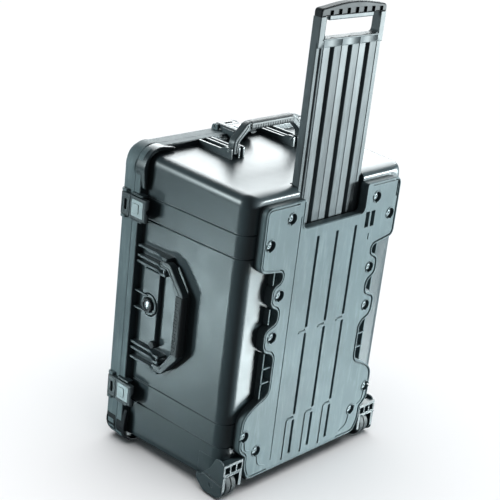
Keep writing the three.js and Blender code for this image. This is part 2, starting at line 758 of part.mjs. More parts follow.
function placeFeet() {
  for (const [name, side] of SIDES) {
    const [x0, x1] = span(side, FOOT.near, FOOT.far);
    place("rim_foot_" + name, block([x0, RIM_Y + 1, 0], [x1, PART_Y - 1, RIM.low - GAP]), RUBBER);
    const [s0, s1] = span(side, SKID.near, SKID.far);
    const low = bodyAt(SKID.front).low - SKID.depth;
    const strip = block([s0, SKID.front, low], [s1, SKID.back, bodyAt(SKID.back).low - GAP]);
    const under = bodySolid(-GAP, RIM_Y + 40);
    place("skid_" + name, cut(strip, under), RESIN);
  }
}

// ---- hinges and seal ---------------------------------------------------------------------------
function placeHingePins() {
  for (const [name, end] of ENDS) {
    const middle = MID_Z + end * HINGE.spacing;
    const reach = HINGE.length / 2;
    const pin = rod("z", HINGE.x, HINGE.y, middle - reach, middle + reach, HINGE.pin, 12);
    place("hinge_pin_" + name, pin, STEEL);
  }
}

place("base_shell", baseShell(), RESIN);
place("lid_shell", lidShell(), RESIN);
place("lid_seal", sealRing(0, PART_Y + RUN, PART_Y + 4.2), RUBBER);
placeValve();
placeLatches();
placeHandles();
placeCover();
placeTrolleyHandle();
placeWheels();
placeFeet();
placeHingePins();

export default assembly;
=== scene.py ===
"""Looks of the hard equipment case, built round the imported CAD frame.

Lengths are millimetres until mesh_object() turns them into metres.
"""

import json
import math

import bmesh
import bpy
import numpy as np
from mathutils import Matrix, Vector

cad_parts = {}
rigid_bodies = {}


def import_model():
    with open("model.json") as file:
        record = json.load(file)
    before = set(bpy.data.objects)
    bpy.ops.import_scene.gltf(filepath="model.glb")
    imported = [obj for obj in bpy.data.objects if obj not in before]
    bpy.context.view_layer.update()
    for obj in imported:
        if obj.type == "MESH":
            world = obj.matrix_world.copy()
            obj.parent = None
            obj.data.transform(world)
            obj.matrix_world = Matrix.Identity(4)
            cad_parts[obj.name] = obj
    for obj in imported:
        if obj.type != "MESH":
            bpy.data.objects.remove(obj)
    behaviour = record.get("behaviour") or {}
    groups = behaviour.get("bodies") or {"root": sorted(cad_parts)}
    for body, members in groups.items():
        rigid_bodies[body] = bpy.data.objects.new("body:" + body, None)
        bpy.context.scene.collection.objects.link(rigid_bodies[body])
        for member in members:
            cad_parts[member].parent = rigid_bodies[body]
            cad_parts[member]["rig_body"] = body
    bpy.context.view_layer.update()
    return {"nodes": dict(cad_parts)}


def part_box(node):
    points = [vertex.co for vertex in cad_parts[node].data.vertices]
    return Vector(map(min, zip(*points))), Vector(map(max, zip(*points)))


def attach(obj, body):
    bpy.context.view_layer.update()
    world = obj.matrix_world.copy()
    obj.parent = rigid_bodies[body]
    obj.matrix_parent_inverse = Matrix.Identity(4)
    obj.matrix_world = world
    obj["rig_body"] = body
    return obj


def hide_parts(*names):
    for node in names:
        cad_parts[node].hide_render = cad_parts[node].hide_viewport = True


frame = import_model()
scene = bpy.context.scene

MM = 0.001

# ---- shared dimensions, as in the CAD frame ----
BACK_Y, RIM_Y, PART_Y, LID_Y, TRAY_Y = -144, 108, 124, 160, -160
BACK_END = (219, 26, 600)  # half width, low and high of the base at its back
RIM_END = (226, 18, 609)
RIM = (242, 6, 620, 40)  # half width, low, high and corner radius of flange and lid
MID_Z = 317
SIDE_PIVOT = (-238, 28)  # x, y
TOP_PIVOT = (28, 621)  # y, z
LATCHES = {"latch_lower": ("side", 126), "latch_upper": ("side", 508), "latch_top": ("top", 0)}
SCREWS = [(120, 552), (169, 510), (129, 405), (135, 322), (178, 128), (140, 85)]  # x, z on each side
HINGE_AXIS = (247, 125)  # x, y
HINGES = (MID_Z - 190, MID_Z + 190)
KNUCKLE = 18  # length of each of a hinge's five barrels
SEAL_LINE = (-232, 12, 232, 614, 32)
VALVE = (68, 324)  # y, z
WHEEL = (198, -132, 27)  # x, y and z of the axle, whose height is the tyre's radius
GUARDED = [(-1, 1), (1, -1), (1, 1)]  # rim corners with a moulded guard; the last has a dark bumper
BUMPER = (-1, -1)
EDGE_NOTCHES = ((-16, 21), (100, 150), (-150, -100))


# ---- mesh tools ----
def linked(name, data):
    obj = bpy.data.objects.new(name, data)
    scene.collection.objects.link(obj)
    return obj


def mesh_from(bm):
    """An object from a bmesh, which is used up."""
    mesh = bpy.data.meshes.new("tool")
    bm.to_mesh(mesh)
    bm.free()
    return linked("tool", mesh)


def mesh_object(verts, faces, name="tool"):
    """A closed mesh from millimetre vertices, faces turned outward."""
    mesh = bpy.data.meshes.new(name)
    mesh.from_pydata([Vector(v) * MM for v in verts], [], faces)
    bm = bmesh.new()
    bm.from_mesh(mesh)
    bmesh.ops.recalc_face_normals(bm, faces=bm.faces)
    bmesh.ops.triangulate(bm, faces=[f for f in bm.faces if len(f.verts) > 4])
    bm.to_mesh(mesh)
    bm.free()
    return linked(name, mesh)


def fillet(corners, steps=6):
    """Outline or open path through corners, each (a, b) or (a, b, radius), rounded."""
    points = []
    count = len(corners)
    for i, corner in enumerate(corners):
        here = np.array(corner[:2], float)
        radius = corner[2] if len(corner) > 2 else 0
        if radius <= 0:
            points.append(tuple(here))
            continue
        before = np.array(corners[i - 1][:2], float) - here
        after = np.array(corners[(i + 1) % count][:2], float) - here
        lb, la = np.linalg.norm(before), np.linalg.norm(after)
        reach = min(radius, lb * 0.499, la * 0.499)
        enter, leave = here + before / lb * reach, here + after / la * reach
        for k in range(steps + 1):
            t = k / steps
            points.append(tuple((1 - t) ** 2 * enter + 2 * t * (1 - t) * here + t * t * leave))
    return points


def rect(a0, b0, a1, b1, r=0, steps=6):
    return fillet([(a0, b0, r), (a1, b0, r), (a1, b1, r), (a0, b1, r)], steps)


def circle(a, b, r, steps=32):
    turns = [2 * math.pi * k / steps for k in range(steps)]
    return [(a + r * math.cos(t), b + r * math.sin(t)) for t in turns]


def area(outline):
    p = np.array(outline)
    q = np.roll(p, -1, axis=0)
    return 0.5 * float(np.sum(p[:, 0] * q[:, 1] - q[:, 0] * p[:, 1]))


def inset(outline, d):
    """The outline moved inward by d along its corner normals."""
    p = np.array(outline, float)
    if area(outline) < 0:
        d = -d

    def unit(v):
        return v / np.maximum(np.linalg.norm(v, axis=1), 1e-9)[:, None]

    edges = (p - np.roll(p, 1, axis=0), np.roll(p, -1, axis=0) - p)
    before, after = (unit(np.stack([-e[:, 1], e[:, 0]], 1)) for e in edges)
    n = unit(before + after)
    cosine = np.maximum(np.sum(n * after, 1), 0.5)
    return [tuple(v) for v in p + n * (d / cosine)[:, None]]


PLACE = {
    "x": lambda a, b, t: (t, a, b),
    "y": lambda a, b, t: (a, t, b),
    "z": lambda a, b, t: (a, b, t),
}


def skin(count, rings):
    """Faces between rings of count vertices, both ends closed."""
    faces = []
    for r in range(rings - 1):
        for i in range(count):
            j = (i + 1) % count
            faces.append((r * count + i, r * count + j, (r + 1) * count + j, (r + 1) * count + i))
    faces.append(tuple(range(count)))
    faces.append(tuple((rings - 1) * count + i for i in range(count)))
    return faces


def prism(outline, axis, low, high, soft_low=0.0, soft_high=0.0, seg=3):
    """An outline pushed along an axis, each end's edge rounded by its own radius."""
    low, high = sorted((low, high))
    rings = []
    if soft_low > 0:
        for k in range(seg, 0, -1):
            turn = math.radians(90 * k / seg)
            rings.append((soft_low * (1 - math.cos(turn)), low + soft_low * (1 - math.sin(turn))))
    rings.append((0, low + soft_low))
    rings.append((0, high - soft_high))
    if soft_high > 0:
        for k in range(1, seg + 1):
            turn = math.radians(90 * k / seg)
            rings.append((soft_high * (1 - math.cos(turn)), high - soft_high * (1 - math.sin(turn))))
    put = PLACE[axis]
    verts = []
    for d, t in rings:
        verts += [put(a, b, t) for a, b in (inset(outline, d) if d > 0 else outline)]
    return mesh_object(verts, skin(len(outline), len(rings)))


def slab(one, other, axis="z", r=0, soft=0.0):
    """A box between opposite corners, its four edges along the axis rounded by r and its ends softened."""
    low, high = list(map(min, one, other)), list(map(max, one, other))
    i = "xyz".index(axis)
    a, b = [k for k in range(3) if k != i]
    return prism(rect(low[a], low[b], high[a], high[b], r), axis, low[i], high[i], soft, soft)


def band(outline, outer, inner, axis, low, high):
    """A closed ring between two insets of an outline."""
    put = PLACE[axis]
    loops = [inset(outline, outer), inset(outline, inner)]
    count = len(outline)
    verts = [put(a, b, t) for t in (low, high) for loop in loops for a, b in loop]
    faces = []
    for i in range(count):
        j = (i + 1) % count
        lo_out, lo_in, hi_out, hi_in = 0, count, 2 * count, 3 * count
        faces += [
            (lo_out + i, lo_out + j, hi_out + j, hi_out + i),
            (lo_in + i, hi_in + i, hi_in + j, lo_in + j),
            (lo_out + i, lo_in + i, lo_in + j, lo_out + j),
            (hi_out + i, hi_out + j, hi_in + j, hi_in + i),
        ]
    return mesh_object(verts, faces)


def ribbon(path, width, axis, low, high, soft_low=0.0, soft_high=0.0, caps=4):
    """A strip of given width along an open path, with round ends."""
    p = np.array(path, float)
    d = np.gradient(p, axis=0)
    d /= np.linalg.norm(d, axis=1)[:, None]
    n = np.stack([-d[:, 1], d[:, 0]], 1) * width / 2
    left, right = [tuple(v) for v in p + n], [tuple(v) for v in (p - n)[::-1]]

    def cap(centre, direction):
        start = math.atan2(direction[1], direction[0]) + math.pi / 2
        turns = [start - math.pi * k / caps for k in range(1, caps)]
        return [(centre[0] + width / 2 * math.cos(t), centre[1] + width / 2 * math.sin(t)) for t in turns]

    outline = left + cap(p[-1], d[-1]) + right + cap(p[0], -d[0])
    return prism(outline, axis, low, high, soft_low, soft_high)


def lathe(profile, axis, a, b, steps=40):
    """A profile of (radius, along) points turned round an axis at a, b. Radius 0 makes a pole."""
    put = PLACE[axis]
    verts, rows = [], []
    for r, t in profile:
        if r <= 1e-6:
            rows.append([len(verts)])
            verts.append(put(a, b, t))
            continue
        rows.append(list(range(len(verts), len(verts) + steps)))
        verts += [put(*point, t) for point in circle(a, b, r, steps)]
    if len(rows[0]) > 1 and len(rows[-1]) > 1:
        rows.append(rows[0])
    faces = []
    for r0, r1 in zip(rows, rows[1:]):
        for k in range(steps):
            j = (k + 1) % steps
            if len(r0) == 1:
                faces.append((r0[0], r1[j], r1[k]))
            elif len(r1) == 1:
                faces.append((r0[k], r0[j], r1[0]))
            else:
                faces.append((r0[k], r0[j], r1[j], r1[k]))
    return mesh_object(verts, faces)


def rod(axis, a, b, low, high, r, soft=0.0, steps=32):
    return prism(circle(a, b, r, steps), axis, low, high, soft, soft)


def together(parts):
    """Separate closed meshes, which don't meet, as one object."""
    bm = bmesh.new()
    for part in parts:
        bm.from_mesh(part.data)
        bpy.data.objects.remove(part)
    return mesh_from(bm)


def cut(*tools):
    return [("DIFFERENCE", tool) for tool in tools]


def add(*tools):
    return [("UNION", tool) for tool in tools]


def carve(body, steps):
    """Boolean steps, as cut() and add() make them, on a body. The tools are used up."""
    for operation, tool in steps:
        m = body.modifiers.new("step", "BOOLEAN")
        m.operation, m.object, m.solver = operation, tool, "MANIFOLD"
    mesh = bpy.data.meshes.new_from_object(body.evaluated_get(bpy.context.evaluated_depsgraph_get()))
    body.modifiers.clear()
    body.data = mesh
    for _, tool in steps:
        bpy.data.objects.remove(tool)
    return body


def copy_of(node):
    """A working copy of a CAD node with its vertices merged."""
    bm = bmesh.new()
    bm.from_mesh(frame["nodes"][node].data)
    bmesh.ops.remove_doubles(bm, verts=bm.verts, dist=1e-6)
    bmesh.ops.recalc_face_normals(bm, faces=bm.faces)
    return mesh_from(bm)


# ---- materials ----
def plastic(
    name, colour, rough, grain=1.0, depth=0.00012, vary=0.16,
    edge_wear_and_highlight=0.25, scuff=0.0, edge=0.0007, metallic=0.0, spec=0.5,
):
    """Moulded plastic: fine grain, uneven colour and gloss, softened edges painted lighter, partly as rubbed
    plastic and partly as a painted edge highlight.

    vary is the swing of the colour, wear and scuff the strength of the pale edges and streaks,
    depth and edge the grain's relief and the edges' radius in metres.
    """
    mat = bpy.data.materials.new(name)
    mat.use_nodes = True
    tree = mat.node_tree
    nodes, links = tree.nodes, tree.links
    nodes.clear()
    out = nodes.new("ShaderNodeOutputMaterial")
    shader = nodes.new("ShaderNodeBsdfPrincipled")
    links.new(shader.outputs["BSDF"], out.inputs["Surface"])
    shader.inputs["Metallic"].default_value = metallic
    shader.inputs["Specular IOR Level"].default_value = spec
    coords = nodes.new("ShaderNodeTexCoord")

    def noise(scale, detail, roughness=0.5, distortion=0.0, vector=coords.outputs["Object"]):
        n = nodes.new("ShaderNodeTexNoise")
        n.inputs["Scale"].default_value = scale
        n.inputs["Detail"].default_value = detail
        n.inputs["Roughness"].default_value = roughness
        n.inputs["Distortion"].default_value = distortion
        links.new(vector, n.inputs["Vector"])
        return n.outputs["Fac"]

    def spread(value, low, high, to_low, to_high):
        n = nodes.new("ShaderNodeMapRange")
        links.new(value, n.inputs["Value"])
        for key, x in zip(("From Min", "From Max", "To Min", "To Max"), (low, high, to_low, to_high)):
            n.inputs[key].default_value = x
        return n.outputs["Result"]

    def math_node(kind, a, b):
        n = nodes.new("ShaderNodeMath")
        n.operation = kind
        n.use_clamp = True
        for i, v in enumerate((a, b)):
            if isinstance(v, (int, float)):
                n.inputs[i].default_value = v
            else:
                links.new(v, n.inputs[i])
        return n.outputs[0]

    def mix(factor, a, b):
        n = nodes.new("ShaderNodeMix")
        n.data_type = "RGBA"
        links.new(factor, n.inputs["Factor"])
        for key, v in (("A", a), ("B", b)):
            socket = [s for s in n.inputs if s.name == key and s.type == "RGBA"][0]
            if isinstance(v, tuple):
                socket.default_value = (*v, 1)
            else:
                links.new(v, socket)
        return [s for s in n.outputs if s.type == "RGBA"][0]

    def tinted(factor, lift=0.0):
        return tuple(min(1, c * factor + lift) for c in colour)

    def bevel_node(samples, radius):
        n = nodes.new("ShaderNodeBevel")
        n.samples = samples
        n.inputs["Radius"].default_value = radius
        return n

    # Where the softened normal leaves the face's own, an edge is near.
    bevel = bevel_node(6, edge)
    geometry = nodes.new("ShaderNodeNewGeometry")
    wide = bevel_node(4, edge * 2.2)
    dot = nodes.new("ShaderNodeVectorMath")
    dot.operation = "DOT_PRODUCT"
    links.new(wide.outputs["Normal"], dot.inputs[0])
    links.new(geometry.outputs["Normal"], dot.inputs[1])
    rim = spread(dot.outputs["Value"], 0.98, 0.8, 0.0, 1.0)
    broken = spread(noise(70, 4, 0.6), 0.35, 0.65, 0.25, 1.0)
    # Pale edges: partly rubbed plastic, partly a painted highlight where the edges would catch the light.
    worn_and_highlit_edge = math_node("MULTIPLY", math_node("MULTIPLY", rim, broken), edge_wear_and_highlight)

    cloudy = spread(noise(7, 5, 0.6, 0.4), 0.3, 0.7, 0.0, 1.0)
    tone = mix(cloudy, tinted(1 - vary), tinted(1 + vary))
    if scuff > 0:
        streak_map = nodes.new("ShaderNodeMapping")
        streak_map.inputs["Scale"].default_value = (1.0, 1.0, 0.12)
        links.new(coords.outputs["Object"], streak_map.inputs["Vector"])
        streaks = noise(95, 6, 0.72, vector=streak_map.outputs["Vector"])
        marks = spread(streaks, 0.5, 0.72, 0.0, scuff)
        tone = mix(marks, tone, tinted(2.4, 0.05))
    links.new(mix(worn_and_highlit_edge, tone, tinted(2.2, 0.05)), shader.inputs["Base Color"])
    gloss = spread(noise(24, 4, 0.6), 0.25, 0.75, rough - 0.03, rough + 0.045)
    links.new(gloss, shader.inputs["Roughness"])

    bump = nodes.new("ShaderNodeBump")
    bump.inputs["Strength"].default_value = 0.5
    bump.inputs["Distance"].default_value = depth
    links.new(noise(1100 * grain, 2, 0.5), bump.inputs["Height"])
    links.new(bevel.outputs["Normal"], bump.inputs["Normal"])
    links.new(bump.outputs["Normal"], shader.inputs["Normal"])
    return mat


RESIN = plastic("resin", (0.030, 0.042, 0.047), 0.33)
COVER = plastic("cover_resin", (0.073, 0.097, 0.104), 0.4, vary=0.14, scuff=0.22, spec=0.12)
RAIL = plastic("rail_resin", (0.045, 0.056, 0.061), 0.5, vary=0.3, scuff=0.4, grain=0.6, spec=0.2)
ARCH = plastic("arch_resin", (0.012, 0.014, 0.016), 0.55, grain=0.7, edge_wear_and_highlight=0.2, spec=0.12)
GRIP = plastic("grip_rubber", (0.022, 0.026, 0.028), 0.5, grain=0.7, depth=0.0003, edge_wear_and_highlight=0.12, spec=0.35)
LID = plastic("lid_resin", (0.095, 0.122, 0.130), 0.5, scuff=0.25, spec=0.12)
LEVER = plastic("latch_resin", (0.034, 0.044, 0.048), 0.36, edge_wear_and_highlight=0.5)
PLATE = plastic("latch_plate", (0.30, 0.35, 0.36), 0.32, edge_wear_and_highlight=0.3)
SEAL = plastic("seal_rubber", (0.012, 0.013, 0.014), 0.7, edge_wear_and_highlight=0.0)
FOOT = plastic("foot_rubber", (0.016, 0.018, 0.02), 0.65, grain=0.5, depth=0.0003, edge_wear_and_highlight=0.1)
TYRE = plastic(
    "tyre_rubber", (0.022, 0.026, 0.028), 0.55, grain=0.5, depth=0.0003, scuff=0.2, edge_wear_and_highlight=0.1, spec=0.2
)
METAL = {"grain": 1.5, "depth": 0.00004, "edge": 0.0004}
STEEL = plastic("steel", (0.50, 0.54, 0.56), 0.28, metallic=1.0, vary=0.12, edge_wear_and_highlight=0.2, **METAL)
SCREW_STEEL = plastic(
    "screw_steel", (0.16, 0.19, 0.20), 0.42, metallic=0.35, vary=0.2, edge_wear_and_highlight=0.5, spec=0.25, **METAL
)
DARK_STEEL = plastic("dark_steel", (0.16, 0.175, 0.18), 0.34, metallic=1.0, edge_wear_and_highlight=0.4, **METAL)


def smooth(mesh, angle=40):
    """Sets corner normals so that flat regions stay flat and fillets run smoothly between them."""
    bm = bmesh.new()
    bm.from_mesh(mesh)
    bmesh.ops.remove_doubles(bm, verts=bm.verts, dist=2e-6)
    bmesh.ops.dissolve_degenerate(bm, edges=bm.edges, dist=1e-6)
    bmesh.ops.triangulate(bm, faces=bm.faces)
    bm.to_mesh(mesh)
    bm.free()
    count = len(mesh.polygons)
    normals = np.zeros(count * 3)
    mesh.polygons.foreach_get("normal", normals)
    normals = normals.reshape(-1, 3)
    areas = np.zeros(count)
    mesh.polygons.foreach_get("area", areas)
    loops = len(mesh.loops)
    vertex, edge = np.zeros(loops, np.int64), np.zeros(loops, np.int64)
    mesh.loops.foreach_get("vertex_index", vertex)
    mesh.loops.foreach_get("edge_index", edge)
    face = np.repeat(np.arange(count), 3)
    # Neighbouring faces across each edge, joined where they lie in one plane.
    order = np.argsort(edge, kind="stable")
    e, f = edge[order], face[order]
    same = np.nonzero(e[:-1] == e[1:])[0]
    a, b = f[same], f[same + 1]
    flat = np.einsum("ij,ij->i", normals[a], normals[b]) > math.cos(math.radians(1.0))
    a, b = a[flat], b[flat]
    label = np.arange(count)
    while True:
        low = np.minimum(label[a], label[b])
        new = label.copy()
        np.minimum.at(new, a, low)
        np.minimum.at(new, b, low)
        new = new[new]
        if np.array_equal(new, label):
            break
        label = new
    region = np.bincount(label, areas, minlength=count)[label]
    # Each corner gathers the faces round its vertex that turn less than the angle.
    order = np.argsort(vertex, kind="stable")
    starts = np.searchsorted(vertex[order], np.arange(len(mesh.vertices)))
    degree = np.bincount(vertex, minlength=len(mesh.vertices))
    limit = math.cos(math.radians(angle))
    total = np.zeros((loops, 3))
    for d in np.unique(degree[degree > 0]):
        rows = order[starts[degree == d][:, None] + np.arange(d)]
        n, w, tag = normals[face[rows]], region[face[rows]], label[face[rows]]
        shared = (tag[:, :, None] == tag[:, None, :]).sum(2)
        close = np.einsum("vik,vjk->vij", n, n) > limit
        weight = close * (w / shared)[:, None, :]
        total[rows.reshape(-1)] = np.einsum("vij,vjk->vik", weight, n).reshape(-1, 3)
    length = np.linalg.norm(total, axis=1)
    bad = length < 1e-12
    total[bad] = normals[face[bad]]
    length[bad] = 1
    mesh.polygons.foreach_set("use_smooth", [True] * count)
    mesh.normals_split_custom_set(total / length[:, None])


def piece(obj, name, body, material, slot, *nodes):
    """Names, smooths, dresses and mounts a finished piece, in place of its CAD nodes."""
    obj.name = name
    obj.data.name = name
    obj.data.materials.clear()
    obj.data.materials.append(material)
    obj.data.polygons.foreach_set("material_index", [0] * len(obj.data.polygons))
    smooth(obj.data)
    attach(obj, body)
    if nodes:
        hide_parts(*nodes)
    return obj


# ---- base shell ----
def body_at(y, by=0.0):
    """Half width, low and high of the tapered base at y, pulled in by an inset."""
    t = (y - BACK_Y) / (RIM_Y - BACK_Y)
    half, low, high = (a + t * (b - a) for a, b in zip(BACK_END, RIM_END))
    return half - by, low + by, high - by


def ring(half, low, high, corner, y):
    return [(a, y, b) for a, b in rect(-half, low, half, high, corner, 8)]


def loft(rings):
    return mesh_object([v for r in rings for v in r], skin(len(rings[0]), len(rings)))


def body_solid(by, top):
    """The tapered outside of the base, its back edges rounded over, pulled in by an inset."""
    side, end, corner = 26 - by, 12 - by / 2, 22 - by / 2
    rings, steps = [], 10
    for k in range(steps + 1):
        angle = math.radians(90 * k / steps)
        y = BACK_Y + by + side * (1 - math.cos(angle))
        pull = 1 - math.sin(angle)
        half, low, high = body_at(y, by)
        rings.append(ring(half - side * pull, low + end * pull, high - end * pull, corner, y))
    rings.append(ring(*body_at(top, by), corner, top))
    return loft(rings)


def channel(grow):
    return slab((-91 - grow, BACK_Y - 40, 40 - grow), (91 + grow, -118 + grow, 720))


def wheel_well(s, grow):
    return slab((s * (172.7 - grow), BACK_Y - 40, -40), (s * 263, -89.7 + grow, 80.3 + grow))


def barrels(own, gap):
    """Low and high end of each hinge barrel of one half: 0 for the base, 1 for the lid."""
    for middle in HINGES:
        for i in range(own, 5, 2):
            yield middle - 45 + KNUCKLE * i + gap, middle - 45 + KNUCKLE * (i + 1) - gap


def knuckles(own):
    """Hinge barrels of one half with their leaves."""
    y0, y1 = (125, 137) if own else (113, 125)
    parts = []
    for z0, z1 in barrels(own, 0.5):
        leaf = slab((236, y0, z0), (248, y1, z1))
        parts.append(carve(rod("z", *HINGE_AXIS, z0, z1, 5, 0.6, 28), add(leaf)))
    return together(parts)


def knuckle_room(own):
    return together([rod("z", *HINGE_AXIS, z0, z1, 6.5, 0, 28) for z0, z1 in barrels(own, -0.5)])


def hinge_bores():
    return together([rod("z", *HINGE_AXIS, z - 47, z + 47, 2.8, 0, 20) for z in HINGES])


def handle_ribs():
    """The moulded ribs that carry both handles, from the flange to the pivots."""
    half, low = body_at(SIDE_PIVOT[1])[0] - 2, body_at(TOP_PIVOT[0])[2] - 2
    px, py = SIDE_PIVOT
    side = [(-half, RIM_Y + 1), (-half, py - 8), (px - 5, py - 7, 4), (px - 5, py + 9, 3)]
    side += [(px + 1, py + 20, 4), (px + 1, RIM_Y + 1)]
    py, pz = TOP_PIVOT
    top = [(py - 8, low), (RIM_Y + 1, low), (RIM_Y + 1, pz - 1), (py + 20, pz - 1, 4)]
    top += [(py + 9, pz + 5, 3), (py - 7, pz + 5, 4)]
    parts = []
    for outline, axis, middle, places in ((side, "z", MID_Z, (84, 96, 116)), (top, "x", 0, (70, 82, 102))):
        for at in places:
            for s in (-1, 1):
                rib = middle + s * at
                parts.append(prism(fillet(outline), axis, rib - 2.5, rib + 2.5, 0.7, 0.7))
    return together(parts)


def screw_rods(radius, low, high):
    return together([rod("y", s * x, z, low, high, radius, 0, 24) for s in (-1, 1) for x, z in SCREWS])


def rim_outline():
    half, low, high, corner = RIM
    return rect(-half, low, half, high, corner, 10)


def groove_tool(z, width, depth):
    """A V-groove round the base at height z, in front of the flange."""

    def section(grow):
        rim, back = body_at(RIM_Y)[0] + grow, body_at(BACK_Y)[0] + grow
        points = [(-rim, RIM_Y - 4), (-back, BACK_Y - grow, 26), (back, BACK_Y - grow, 26), (rim, RIM_Y - 4)]
        return fillet(points, 8)

    wide = width / 2
    levels = [(z - wide, 0.5), (z - 0.3, -depth), (z + 0.3, -depth), (z + wide, 0.5)]
    levels += [(z + wide, 12), (z - wide, 12)]
    rings = [[(a, b, t) for a, b in section(grow)] for t, grow in levels]
    count, total = len(rings[0]), len(rings)
    faces = []
    for r in range(total):
        s = (r + 1) % total
        for i in range(count - 1):
            faces.append((r * count + i, r * count + i + 1, s * count + i + 1, s * count + i))
    faces.append(tuple(r * count for r in range(total)))
    faces.append(tuple(r * count + count - 1 for r in range(total)))
    return mesh_object([v for loop in rings for v in loop], faces)


def corner_guard(sx, sz, low, high, soft_low, soft_high):
    """A raised guard that wraps one corner of the rim."""
    half, bottom, top, corner = RIM
    cx, cz = sx * (half - corner), (top - corner if sz > 0 else bottom + corner)
    mid = corner - 6.2
    turns = [math.radians(t) for t in range(0, 91, 9)]
    arc = [(cx + sx * mid * math.sin(t), cz + sz * mid * math.cos(t)) for t in turns]
    # Both ends run into the rim.
    path = [(cx - sx * 26, cz + sz * (mid - 4))] + arc + [(cx + sx * (mid - 4), cz - sz * 30)]
    guard = ribbon(path, 16, "y", low, high, soft_low, soft_high, caps=6)
    room = prism(rect(-half + 5, bottom + 5, half - 5, top - 5, corner - 5, 10), "y", low - 1, high + 1)
    return carve(guard, cut(room))


def base_guard(corner):
    return corner_guard(*corner, 99, 123.4, 2.5, 1)


def valve_rod(low, high, radius, steps=32):
    return rod("x", *VALVE, low, high, radius, steps=steps)


def make_base():
    wells = [wheel_well(-1, 5), wheel_well(1, 5)]
    inside = body_solid(5, PART_Y + 20)
    valve_seat = valve_rod(-240, -205, 18)
    carve(inside, cut(channel(5), *wells, valve_seat, screw_rods(7, BACK_Y, BACK_Y + 14)))
    body = body_solid(0, RIM_Y + 1)
    pins = []
    for z0, z1 in ((-120, -80), (80, 120)):
        pins.append(rod("z", *SIDE_PIVOT, MID_Z + z0, MID_Z + z1, 3.8, 0, 20))
    for x0, x1 in ((-106, -66), (66, 106)):
        pins.append(rod("x", *TOP_PIVOT, x0, x1, 3.8, 0, 20))
    steps = add(prism(rim_outline(), "y", RIM_Y, PART_Y, 1.2, 0.6), handle_ribs())
    steps += cut(channel(0), wheel_well(-1, 0), wheel_well(1, 0), inside, together(pins))
    steps += cut(valve_rod(-260, -190, 6), screw_rods(3.3, BACK_Y - 10, BACK_Y + 11), knuckle_room(1))
    steps += add(knuckles(0)) + cut(hinge_bores())
    carve(body, steps)
    steps = cut(*[groove_tool(z, 4.8, 2.4) for z in (529, 484, 153, 104)])
    steps += add(*[base_guard(corner) for corner in GUARDED])
    # Raised panel round the pressure valve, between the handle's two groups of ribs.
    pad = prism(rect(44, 240, 89, 394, 4), "x", -233.5, -222, 2.5)
    steps += add(carve(pad, cut(valve_rod(-240, -200, 23.5))))
    # Rails beside the two side latches and the top latch.
    for edge, at in LATCHES.values():
        for s in (-1, 1):
            rail = at + s * 25.2
            if edge == "side":
                steps += add(slab((-249, 92, rail - 1.8), (-236, 123, rail + 1.8), "z", 2, 0.6))
            else:
                steps += add(slab((rail - 1.8, 92, 614), (rail + 1.8, 123, 629), "x", 2, 0.6))
    # Stiffening ribs on the hinge side, between the hinges.
    for z in (257, 297, 337, 377):
        rib = fillet([(224, 107), (224, 30), (229, 40, 6), (236, 80, 20), (238, 107)])
        steps += add(prism(rib, "z", z - 2.5, z + 2.5, 0.6, 0.6))
    # Ribs under the base.
    for x in (-120, -40, 0, 40, 120):
        low = 14 if x else 16
        steps += add(slab((x - 3, -118, low), (x + 3, 100, 26.5), "x", 3, 1))
    carve(body, steps)
    piece(body, "case_body", "case", RESIN, "resin", "base_shell")
    # The face of the flange, a band in the lighter lid plastic.
    strip = band(rim_outline(), -0.5, 3, "y", 109.5, 123)
    gaps = [slab((236, 112, z - 46), (260, 126, z + 46)) for z in HINGES]
    piece(carve(strip, cut(*gaps)), "rim_face", "case", LID, "resin")
    piece(base_guard(BUMPER), "base_bumper", "case", ARCH, "grip")
    dome = [(0, -240.5), (4.5, -240.5), (6.6, -239.6), (7.4, -237.8), (7.4, -230), (0, -230)]
    piece(lathe(dome, "x", 47, 249, 32), "wall_bumper", "case", GRIP, "grip")


